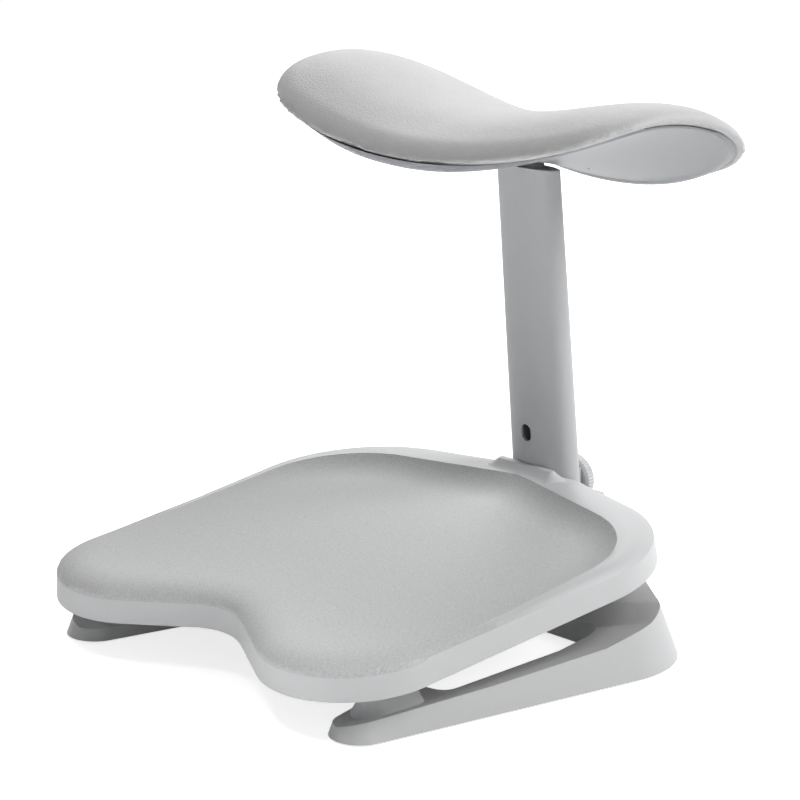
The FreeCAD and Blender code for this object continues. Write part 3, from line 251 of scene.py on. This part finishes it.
def bare_metal(name, colour, roughness):
    """A turned metal: fine lines run across the Z axis, as a lathe leaves them."""
    material, tree, shader = new_finish(name, colour, roughness, METAL_SHINE)
    shader.inputs["Metallic"].default_value = 1.0
    lines = noise(tree, LATHE_PITCH, LATHE_DETAIL, LATHE_LINES)
    relief(tree, shader, lines, LATHE_DEPTH, LATHE_RELIEF)
    tree.links.new(tint(tree, lines, colour, LATHE_CONTRAST), shader.inputs["Base Color"])
    uneven = spread(tree, lines, roughness - LATHE_SMOOTHER, roughness + LATHE_ROUGHER)
    tree.links.new(uneven, shader.inputs["Roughness"])
    return material


# %% The finishes of this object
FINISHES = {
    "cushion_cover": cushion_cover((0.56, 0.56, 0.56)),
    "body_grey": moulding("body_grey", (0.62, 0.625, 0.63), 0.45, 0.7 * MM, 0.03 * MM, 0.015),
    "frame_grey": moulding("frame_grey", (0.60, 0.605, 0.61), 0.48, 0.7 * MM, 0.03 * MM, 0.015),
    "tray_grain": moulding("tray_grain", (0.55, 0.555, 0.555), 0.62, 1.5 * MM, 0.16 * MM, 0.11),
    "frame_grain": moulding("frame_grain", (0.58, 0.58, 0.58), 0.64, 0.9 * MM, 0.18 * MM, 0.08),
    # The shell's grey is much darker than the body grey: painted shade, standing in for the shade under the
    # saddle.
    "shell_grey": moulding("shell_grey", (0.27, 0.28, 0.295), 0.42, 0.9 * MM, 0.02 * MM, 0.012),
    "post_coat": moulding("post_coat", (0.50, 0.51, 0.52), 0.5, 0.6 * MM, 0.06 * MM, 0.035),
    "cast_alloy": moulding("cast_alloy", (0.50, 0.505, 0.51), 0.5, 1.0 * MM, 0.06 * MM, 0.04),
    "pad_rubber": moulding("pad_rubber", (0.025, 0.025, 0.025), 0.8, 0.7 * MM, 0.1 * MM, 0.15),
    "glide_plastic": moulding("glide_plastic", (0.05, 0.05, 0.052), 0.5, 0.8 * MM, 0.03 * MM, 0.08),
    "fastener_steel": bare_metal("fastener_steel", (0.55, 0.55, 0.54), 0.32),
    "guide_brass": bare_metal("guide_brass", (0.66, 0.48, 0.2), 0.32),
}
print("finishes:", ", ".join(sorted(FINISHES)))

# %% [markdown]
# ## Rigid pieces
# The construction model comes in as loose triangles, which would shade as flat facets. A Weld modifier
# joins them, smooth shading rounds them, and an Edge Split keeps every edge that really is sharp. The
# meshes themselves are not changed, so the dressed object keeps its size.

# %% Dress the rigid pieces
CRISP_ANGLE = math.radians(24.0)
WELD_REACH = 0.01 * MM


def dress(node, finish):
    mesh = node.data
    mesh.materials.clear()
    mesh.materials.append(finish)
    mesh.polygons.foreach_set("use_smooth", [True] * len(mesh.polygons))
    mesh.polygons.foreach_set("material_index", [0] * len(mesh.polygons))
    weld = node.modifiers.new("Weld", "WELD")
    weld.merge_threshold = WELD_REACH
    crisp = node.modifiers.new("Crisp edges", "EDGE_SPLIT")
    crisp.split_angle = CRISP_ANGLE


for subpart in frame["record"]["subparts"]:
    dress(nodes[subpart["node"]], FINISHES[subpart["material_slot"]])

# %% [markdown]
# ## The plate
# The plate is one moulding: a side wall, a rim that rises to a crest, and inside the crest the tray for
# the feet. The loose triangles of a construction node can't be edited, so a merged copy takes its place.
# The plate slopes, so all work on it is done in the plate's own level frame. There the tray's floor and
# the crest are planes, whose height depends only on how far back a point lies.

# %% Helper for copies
def copy_of(node, name):
    """A new piece with a merged copy of a construction node's mesh."""
    shape = bmesh.new()
    shape.from_mesh(node.data)
    bmesh.ops.remove_doubles(shape, verts=shape.verts, dist=WELD_REACH)
    mesh = bpy.data.meshes.new(name)
    shape.to_mesh(mesh)
    shape.free()
    piece = bpy.data.objects.new(name, mesh)
    bpy.context.scene.collection.objects.link(piece)
    return piece


# %% The plate and its own frame
PLATE_DATUM = Vector((0.0, -238.0, 37.0)) * MM
PLATE_SLOPE = math.radians(5.5)
TRAY_LENGTH = 360.0 * MM
TRAY_FRONT = 24.0 * MM
TRAY_REAR = 15.5 * MM
CREST_FRONT = 19.6 * MM
CREST_REAR = 27.2 * MM

plate_to_model = Matrix.Translation(PLATE_DATUM) @ Matrix.Rotation(PLATE_SLOPE, 4, "X")
model_to_plate = plate_to_model.inverted()
model_to_plate_turn = model_to_plate.to_3x3()


def tray_height(y):
    return TRAY_FRONT + (TRAY_REAR - TRAY_FRONT) * y / TRAY_LENGTH


def crest_height(y):
    return CREST_FRONT + (CREST_REAR - CREST_FRONT) * y / TRAY_LENGTH


def faces_up(face):
    """How far a face looks up in the plate's frame: 1 when it is level, 0 when it is upright."""
    return (model_to_plate_turn @ face.normal).z


plate = copy_of(nodes["foot_plate"], "plate")
dress(plate, FINISHES["body_grey"])
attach(plate, "base")
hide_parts("foot_plate")
plate_shape = bmesh.new()
plate_shape.from_mesh(plate.data)
print("plate:", len(plate_shape.faces), "faces")

# %% [markdown]
# ## Distances seen from above
# The tray's curves depend on how far a point lies from two edges, seen from above: the top edge of the
# side wall, and the crest. Points are strung along such an edge and sorted into a KD tree, which finds the
# nearest one at once, so there is no search through the whole edge for every point.

# %% Helpers for distances
STRUNG = 2.0 * MM


def string_points(first, last):
    """Points along a straight edge, no further apart than STRUNG."""
    steps = int((last - first).length / STRUNG) + 1
    return [first.lerp(last, step / steps) for step in range(steps + 1)]


def distance_finder(points):
    """A function that tells how far a place lies from the nearest of these points, seen from above."""
    tree = kdtree.KDTree(len(points))
    for index, point in enumerate(points):
        tree.insert((point.x, point.y, 0.0), index)
    tree.balance()

    def distance(place):
        return tree.find((place.x, place.y, 0.0))[2]

    return distance


# %% Measure from the wall's top edge and the crest
WALL_HEIGHT = 19.0 * MM
WALL_STEEP = 0.35
CREST_FROM = 60.0 * MM
SLACK = 0.12 * MM

wall_top_points = []
crest_points = []
for edge in plate_shape.edges:
    ends = [model_to_plate @ vert.co for vert in edge.verts]
    beside_wall = min(abs(faces_up(face)) for face in edge.link_faces) < WALL_STEEP
    if beside_wall and max(abs(end.z - WALL_HEIGHT) for end in ends) < SLACK:
        wall_top_points += string_points(*ends)
    behind_front = min(end.y for end in ends) > CREST_FROM
    if behind_front and max(abs(end.z - crest_height(end.y)) for end in ends) < SLACK:
        crest_points += string_points(*ends)
depth_inside = distance_finder(wall_top_points)
depth_from_crest = distance_finder(crest_points)
print("points strung:", len(wall_top_points), "on the wall,", len(crest_points), "on the crest")

# %% [markdown]
# ## A new skin for the tray
# In the construction model the band inside the crest is thin and tightly curved, and the tray's floor is
# flat, with no points of its own. So all of it is taken out: the search starts on the floor and collects
# every face that can be reached without crossing the crest. The hole is filled anew, and the skin is cut
# into small squares, so that it can be curved everywhere. The tool that makes this moulding is etched
# where the feet stand. So the skin gets a grained finish, and so does the edge in front, which the tray
# rolls over.

# %% Collect the faces inside the crest
ON_CREST = 0.03 * MM
FLAT = 0.9


def on_crest(edge):
    ends = [model_to_plate @ vert.co for vert in edge.verts]
    return max(abs(end.z - crest_height(end.y)) for end in ends) < ON_CREST


def floor_area(face):
    """The area of a face that lies flat on the tray's floor, and 0 for other faces."""
    place = model_to_plate @ face.calc_center_median()
    on_floor = faces_up(face) > FLAT and abs(place.z - tray_height(place.y)) < SLACK
    return face.calc_area() if on_floor else 0.0


def inside_crest(shape):
    """The faces that can be reached from the tray's floor without crossing the crest."""
    reached = {}
    waiting = [max(shape.faces, key=floor_area)]
    while waiting:
        face = waiting.pop()
        reached[face] = True
        for edge in face.edges:
            if not on_crest(edge):
                waiting += [other for other in edge.link_faces if other not in reached]
    return reached


old_skin = inside_crest(plate_shape)
border = [edge for edge in plate_shape.edges if sum(face in old_skin for face in edge.link_faces) == 1]
print("tray:", len(old_skin), "faces inside", len(border), "edges of the crest")

# %% Fill the hole
plate_up = model_to_plate_turn.inverted() @ Vector((0.0, 0.0, 1.0))
bmesh.ops.delete(plate_shape, geom=list(old_skin), context="FACES")
filled = bmesh.ops.triangle_fill(plate_shape, use_beauty=True, edges=border, normal=plate_up)
new_skin = [part for part in filled["geom"] if isinstance(part, bmesh.types.BMFace)]
for face in new_skin:
    face.normal_update()
    if face.normal.dot(plate_up) < 0.0:
        face.normal_flip()
    face.smooth = True
print("tray:", len(new_skin), "new faces")

# %% Give the tray its grain
GRAIN_FRONT_END = 145.0 * MM
LOOKS_UP = 0.3


def rolled_over(face):
    """Whether a face lies on top of the plate in front, where the tray runs over the edge."""
    place = model_to_plate @ face.calc_center_median()
    on_top = faces_up(face) > LOOKS_UP and place.z > WALL_HEIGHT - SLACK
    return on_top and place.y < GRAIN_FRONT_END


plate.data.materials.append(FINISHES["tray_grain"])
for face in new_skin + [face for face in plate_shape.faces if rolled_over(face)]:
    face.material_index = 1
tray_faces = [face for face in plate_shape.faces if face.material_index == 1]
print("tray:", len(tray_faces), "grained faces")

# %% Cut the tray into squares
TRAY_SQUARE = 6.0 * MM
TRAY_REACH = 252.0 * MM
CUT_REACH = 0.001 * MM

parts = dict.fromkeys(tray_faces)
for face in tray_faces:
    parts.update(dict.fromkeys(face.edges))
    parts.update(dict.fromkeys(face.verts))
parts = list(parts)
for across in (Vector((1.0, 0.0, 0.0)), Vector((0.0, 1.0, 0.0))):
    for step in range(int(2.0 * TRAY_REACH / TRAY_SQUARE)):
        place = across * (step * TRAY_SQUARE - TRAY_REACH)
        plane = {"plane_co": place, "plane_no": across}
        parts = bmesh.ops.bisect_plane(plate_shape, geom=parts, dist=CUT_REACH, **plane)["geom"]
bmesh.ops.triangulate(plate_shape, faces=plate_shape.faces)
plate_shape.normal_update()
print("plate:", len(plate_shape.faces), "faces with its tray in squares")

# %% [markdown]
# ## The tray's curves
# Seen from the front, the tray swells over its edge in one full round, like the edge of a cushion. At the
# sides and the rear it sinks behind the crest and runs out softly into the floor. So each point of the
# tray gets its height from two simple curves: a hollow that starts steeply at the crest, and in front a
# quarter round from the wall's top edge. Along the sides one fades into the other. The floor rises by a
# few millimetres in front and by nothing at the back, so it stays flat.

# %% Heights of the tray
ROLL_RUN = 32.0 * MM
ROLL_LIFT = 7.5 * MM
ROLL_FULL = 90.0 * MM
ROLL_END = 205.0 * MM
HOLLOW_RUN = 38.0 * MM
HOLLOW_BEND = 2.2
RIM_SIDE = 17.0 * MM


def ease(value, start, end):
    """Goes smoothly from 0 at start to 1 at end."""
    share = min(max((value - start) / (end - start), 0.0), 1.0)
    return share * share * (3.0 - 2.0 * share)


def floor_height(y):
    return tray_height(y) + ROLL_LIFT * (1.0 - y / TRAY_LENGTH)


def rolled_height(place):
    share = min(depth_inside(place) / ROLL_RUN, 1.0)
    return WALL_HEIGHT + (floor_height(place.y) - WALL_HEIGHT) * math.sqrt(1.0 - (1.0 - share) ** 2)


def hollow_height(place):
    share = max(1.0 - depth_from_crest(place) / HOLLOW_RUN, 0.0) ** HOLLOW_BEND
    return floor_height(place.y) + (crest_height(place.y) - floor_height(place.y)) * share


# %% Curve the tray
curved = 0
for vert in plate_shape.verts:
    place = model_to_plate @ vert.co
    in_tray = all(face.material_index == 1 for face in vert.link_faces)
    clear_of_wall = min(faces_up(face) for face in vert.link_faces) > WALL_STEEP
    on_rim = clear_of_wall and place.z > WALL_HEIGHT and place.y < ROLL_END
    if in_tray or on_rim:
        height = place.z
        if in_tray and depth_inside(place) > RIM_SIDE:
            height = hollow_height(place)
        rolled = 1.0 - ease(place.y, ROLL_FULL, ROLL_END)
        place.z = height + (rolled_height(place) - height) * rolled
        vert.co = plate_to_model @ place
        curved += 1
plate_shape.to_mesh(plate.data)
plate_shape.free()
print("plate:", curved, "points curved")

# %% [markdown]
# ## The frame's grain
# The floor frame is etched too, on the dished faces that look up, while its slanted outer walls are
# smooth. Here the direction of a face is enough to sort it, and the mesh stays as it is.

# %% Give the frame's top its grain
FRAME_TOP = 0.6

frame_mesh = nodes["base_frame"].data
frame_mesh.materials.append(FINISHES["frame_grain"])
etched = [face for face in frame_mesh.polygons if face.normal.z > FRAME_TOP]
for face in etched:
    face.material_index = 1
print("frame:", len(etched), "of", len(frame_mesh.polygons), "faces etched")

# %% [markdown]
# ## The saddle's own frame
# The saddle slopes back and its ends sweep up like wings. Work on its soft edge is easier in a frame
# that lies along the saddle, with its origin in the middle. The tilt joint gives that frame's place. One
# formula gives the height of the saddle's middle surface, on which the cushion rests: the ends rise, and
# the front and rear edges fall, more so towards the ends.

# %% The saddle's own frame
SADDLE_SLOPE = math.radians(-11.46)
TILT_PIN = Vector((0.0, 28.8, 2.0)) * MM
HALF_LENGTH = 196.0 * MM
END_LIFT = 60.8 * MM
END_LEVEL = 15.6 * MM
END_DROOP = 1.08
FRONT_REACH = 128.8 * MM
FRONT_DROOP = 21.7 * MM
REAR_REACH = 142.5 * MM
REAR_DROOP = 18.3 * MM

tilt_joint = next(joint for joint in frame["joints"] if joint["name"] == "saddle_tilt")
saddle_turn = Matrix.Rotation(SADDLE_SLOPE, 4, "X")
saddle_middle = Vector(tilt_joint["pos_m"]) - saddle_turn @ TILT_PIN
saddle_to_model = Matrix.Translation(saddle_middle) @ saddle_turn
model_to_saddle = saddle_to_model.inverted()


def middle_height(x, y):
    across = abs(x) / HALF_LENGTH
    reach, droop = (REAR_REACH, REAR_DROOP) if y > 0.0 else (FRONT_REACH, FRONT_DROOP)
    fall = droop * (y / reach) ** 2 * (1.0 + END_DROOP * across ** 2)
    return END_LIFT * across ** 2 - END_LEVEL * across ** 4 - fall


print("saddle's middle at", tuple(round(value, 4) for value in saddle_middle))

# %% [markdown]
# ## The shell under the cushion
# A thin shell closes the cushion from below. In the middle the two meet flush, with a fine dark seam.
# Towards the ends the cushion's cover turns under, and the seam lies further in. The construction model
# keeps the shell as wide as the cushion everywhere, so a copy of it is drawn in towards its ends. Each
# point moves along the saddle's middle surface, which keeps the shell close under the cushion.

# %% Draw in the shell's ends
DRAW_STARTS = 0.15
DRAW_FULL = 0.8
DRAW_LENGTHWISE = 0.033
DRAW_DEPTHWISE = 0.06


def draw_in(place):
    """Moves a point of the shell inwards, and flattens the lip that stands above the middle surface."""
    weight = ease(abs(place.x) / HALF_LENGTH, DRAW_STARTS, DRAW_FULL)
    height = place.z - middle_height(place.x, place.y)
    if height > 0.0:
        height *= 1.0 - weight
    x = place.x * (1.0 - DRAW_LENGTHWISE * weight)
    y = place.y * (1.0 - DRAW_DEPTHWISE * weight)
    return Vector((x, y, middle_height(x, y) + height))


shell = copy_of(nodes["saddle_shell"], "shell")
for vert in shell.data.vertices:
    vert.co = saddle_to_model @ draw_in(model_to_saddle @ vert.co)
dress(shell, FINISHES["shell_grey"])
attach(shell, "saddle")
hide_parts("saddle_shell")
print("shell:", len(shell.data.polygons), "faces")

# %% [markdown]
# ## The cushion: an even mesh
# A foam cushion under a tight cover is full and round, with no flat facet and no hard edge. Its solid in
# the construction model has the right outline, but long thin triangles that cloth can't bend. So a copy
# is merged, remeshed into even squares of three millimetres, and evened out.

# %% Helper for modifiers
def bake_modifiers(piece):
    """Replaces the piece's mesh by what its modifiers make of it, and removes them."""
    graph = bpy.context.evaluated_depsgraph_get()
    mesh = bpy.data.meshes.new_from_object(piece.evaluated_get(graph))
    piece.modifiers.clear()
    piece.data = mesh


# %% Even squares
SQUARE = 3.0 * MM
EVEN_SHARE = 0.5
EVEN_ROUNDS = 8

cushion = copy_of(nodes["saddle_cushion"], "cushion")
remesh = cushion.modifiers.new("Even squares", "REMESH")
remesh.mode = "VOXEL"
remesh.voxel_size = SQUARE
even_out = cushion.modifiers.new("Even out", "SMOOTH")
even_out.factor = EVEN_SHARE
even_out.iterations = EVEN_ROUNDS
bake_modifiers(cushion)
print("cushion:", len(cushion.data.polygons), "even faces")

# %% [markdown]
# ## The cushion: pinned and filled
# The underside of the cushion is glued to a board, so its points are pinned. The rest, which evening out
# has made slightly small, is blown up from inside as cloth, the way foam fills a cover. Pressure alone
# would make a balloon, so no point may move further than a millimetre or two: the outline stays that of
# the saddle. The cover is tight, so the moves are averaged between neighbours, to take out wrinkles.

# %% Pin the underside
FACES_DOWN = -0.35

saddle_up = saddle_turn.to_3x3() @ Vector((0.0, 0.0, 1.0))
underside = cushion.vertex_groups.new(name="underside")
pinned = [vert.index for vert in cushion.data.vertices if vert.normal.dot(saddle_up) < FACES_DOWN]
underside.add(pinned, 1.0, "REPLACE")
print("cushion:", len(pinned), "points pinned")

# %% Fill the cushion
PRESSURE = 4.0
COVER_TENSION = 40.0
COVER_BENDING = 4.0
FILL_FRAMES = 20
SWELL_LIMIT = 1.6 * MM
AVERAGING_ROUNDS = 60


def evened(mesh, moves):
    """The moves, each averaged with its neighbours' many times, to take out wrinkles."""
    for _ in range(AVERAGING_ROUNDS):
        totals = [move.copy() for move in moves]
        counts = [1] * len(moves)
        for edge in mesh.edges:
            first, last = edge.vertices
            totals[first] += moves[last]
            totals[last] += moves[first]
            counts[first] += 1
            counts[last] += 1
        moves = [total / count for total, count in zip(totals, counts)]
    return moves


def fill(piece):
    """Blows the piece up as cloth, caps how far each point moves, and averages the moves."""
    cloth = piece.modifiers.new("Filling", "CLOTH")
    cloth.settings.use_pressure = True
    cloth.settings.uniform_pressure_force = PRESSURE
    cloth.settings.effector_weights.gravity = 0.0
    cloth.settings.tension_stiffness = COVER_TENSION
    cloth.settings.bending_stiffness = COVER_BENDING
    cloth.settings.vertex_group_mass = "underside"
    cloth.point_cache.frame_start = 1
    cloth.point_cache.frame_end = FILL_FRAMES
    for step in range(1, FILL_FRAMES + 1):
        bpy.context.scene.frame_set(step)
    before = [vert.co.copy() for vert in piece.data.vertices]
    bake_modifiers(piece)
    bpy.context.scene.frame_set(1)
    moves = [vert.co - start for vert, start in zip(piece.data.vertices, before)]
    for move in moves:
        move.length = min(move.length, SWELL_LIMIT)
    for vert, start, move in zip(piece.data.vertices, before, evened(piece.data, moves)):
        vert.co = start + move
    print("cushion swelled by up to", round(max(move.length for move in moves) / MM, 2), "mm")


fill(cushion)

# %% [markdown]
# ## The cushion: finish
# Evening out once more and one level of subdivision round the squares away. The cushion takes the place
# of its plain solid and rides on the saddle, so it tilts with it.

# %% Finish the cushion
FINAL_ROUNDS = 4

round_off = cushion.modifiers.new("Even out", "SMOOTH")
round_off.factor = EVEN_SHARE
round_off.iterations = FINAL_ROUNDS
finer = cushion.modifiers.new("Finer", "SUBSURF")
finer.levels = 1
finer.render_levels = 1
cushion.data.polygons.foreach_set("use_smooth", [True] * len(cushion.data.polygons))
cushion.data.materials.clear()
cushion.data.materials.append(FINISHES["cushion_cover"])
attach(cushion, "saddle")
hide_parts("saddle_cushion")
print("cushion rides on the saddle")

# %% [markdown]
# ## Floor
# The object stands on a white studio floor. To light the undersides, the floor is a plain matt white.
# To the camera, and in reflections, it also glows a little, so it reads as white and the shadow stays
# faint but is still there. The Light Path node tells the two kinds of ray apart.

# %% Floor
FLOOR_SIZE = 30.0
FLOOR_DROP = 0.2 * MM
FLOOR_GLOW = 0.75
FLOOR_WHITE = (0.88, 0.88, 0.88, 1.0)
PURE_WHITE = (1.0, 1.0, 1.0, 1.0)


def seen_ray(tree):
    """Is 1 for rays from the camera, reflections and see-through surfaces, otherwise 0."""
    rays = add_node(tree, "ShaderNodeLightPath")
    total = rays.outputs["Is Camera Ray"]
    for kind in ("Is Glossy Ray", "Is Transmission Ray"):
        either = add_node(tree, "ShaderNodeMath", operation="MAXIMUM")
        tree.links.new(total, either.inputs[0])
        tree.links.new(rays.outputs[kind], either.inputs[1])
        total = either.outputs[0]
    return total


def mix_by_ray(tree, unseen, seen, output):
    """Shows one shader to the eye and the other to the light that bounces."""
    mix = add_node(tree, "ShaderNodeMixShader")
    tree.links.new(seen_ray(tree), mix.inputs[0])
    tree.links.new(unseen, mix.inputs[1])
    tree.links.new(seen, mix.inputs[2])
    tree.links.new(mix.outputs[0], tree.nodes[output].inputs["Surface"])


floor_finish = bpy.data.materials.new("floor_white")
floor_finish.use_nodes = True
floor_tree = floor_finish.node_tree
floor_tree.nodes.remove(floor_tree.nodes["Principled BSDF"])
matt = add_node(floor_tree, "ShaderNodeBsdfDiffuse", Color=FLOOR_WHITE)
glow = add_node(floor_tree, "ShaderNodeEmission", Color=PURE_WHITE, Strength=FLOOR_GLOW)
glowing = add_node(floor_tree, "ShaderNodeAddShader")
floor_tree.links.new(matt.outputs[0], glowing.inputs[0])
floor_tree.links.new(glow.outputs[0], glowing.inputs[1])
mix_by_ray(floor_tree, matt.outputs[0], glowing.outputs[0], "Material Output")

floor_shape = bmesh.new()
bmesh.ops.create_grid(floor_shape, x_segments=1, y_segments=1, size=FLOOR_SIZE)
bmesh.ops.translate(floor_shape, verts=floor_shape.verts, vec=(0.0, 0.0, -FLOOR_DROP))
floor_mesh = bpy.data.meshes.new("floor")
floor_shape.to_mesh(floor_mesh)
floor_shape.free()
floor_mesh.materials.append(floor_finish)
floor = bpy.data.objects.new("floor", floor_mesh)
bpy.context.scene.collection.objects.link(floor)
print("floor:", 2 * FLOOR_SIZE, "m wide")

# %% [markdown]
# ## Light
# Two large lamps stand high on the right and the left, a little behind. The right-hand one is stronger,
# so the walls on the right are the lightest. Both light the tray from under the saddle, while the roll
# of its front and the wall at its back face away from them and fall off to a darker grey. A third lamp
# shines straight down on the floor in front. It never meets the object, but the floor throws its light
# back up at the front walls and under the saddle. The world adds a weak, even light.

# %% World and lamps
WORLD_LIGHT = 0.25
AIM = Vector((0.0, 0.0, 0.2))
BOUNCE_SPOT = Vector((0.3, -1.1, 0.0))
BOUNCE_SPREAD = math.radians(60.0)

world = bpy.data.worlds.new("studio")
bpy.context.scene.world = world
world.use_nodes = True
sky = world.node_tree
soft = sky.nodes["Background"]
soft.inputs["Color"].default_value = PURE_WHITE
soft.inputs["Strength"].default_value = WORLD_LIGHT
white = add_node(sky, "ShaderNodeBackground", Color=PURE_WHITE, Strength=1.0)
mix_by_ray(sky, soft.outputs[0], white.outputs[0], "World Output")


def softbox(name, place, target, width, power):
    """A square studio lamp that points at a target."""
    lamp_data = bpy.data.lights.new(name, "AREA")
    lamp_data.size = width
    lamp_data.energy = power
    lamp = bpy.data.objects.new(name, lamp_data)
    lamp.location = place
    lamp.rotation_euler = (Vector(target) - Vector(place)).to_track_quat("-Z", "Y").to_euler()
    bpy.context.scene.collection.objects.link(lamp)
    print("lamp", name, "of", power, "W")
    return lamp_data


softbox("right", (1.49, 1.25, 1.62), AIM, width=1.6, power=45.0)
softbox("left", (-1.49, 1.25, 1.62), AIM, width=1.6, power=28.0)
bounce = softbox("bounce", (0.3, -1.1, 1.2), BOUNCE_SPOT, width=0.8, power=17.0)
bounce.spread = BOUNCE_SPREAD
bpy.context.scene.view_settings.view_transform = "Standard"
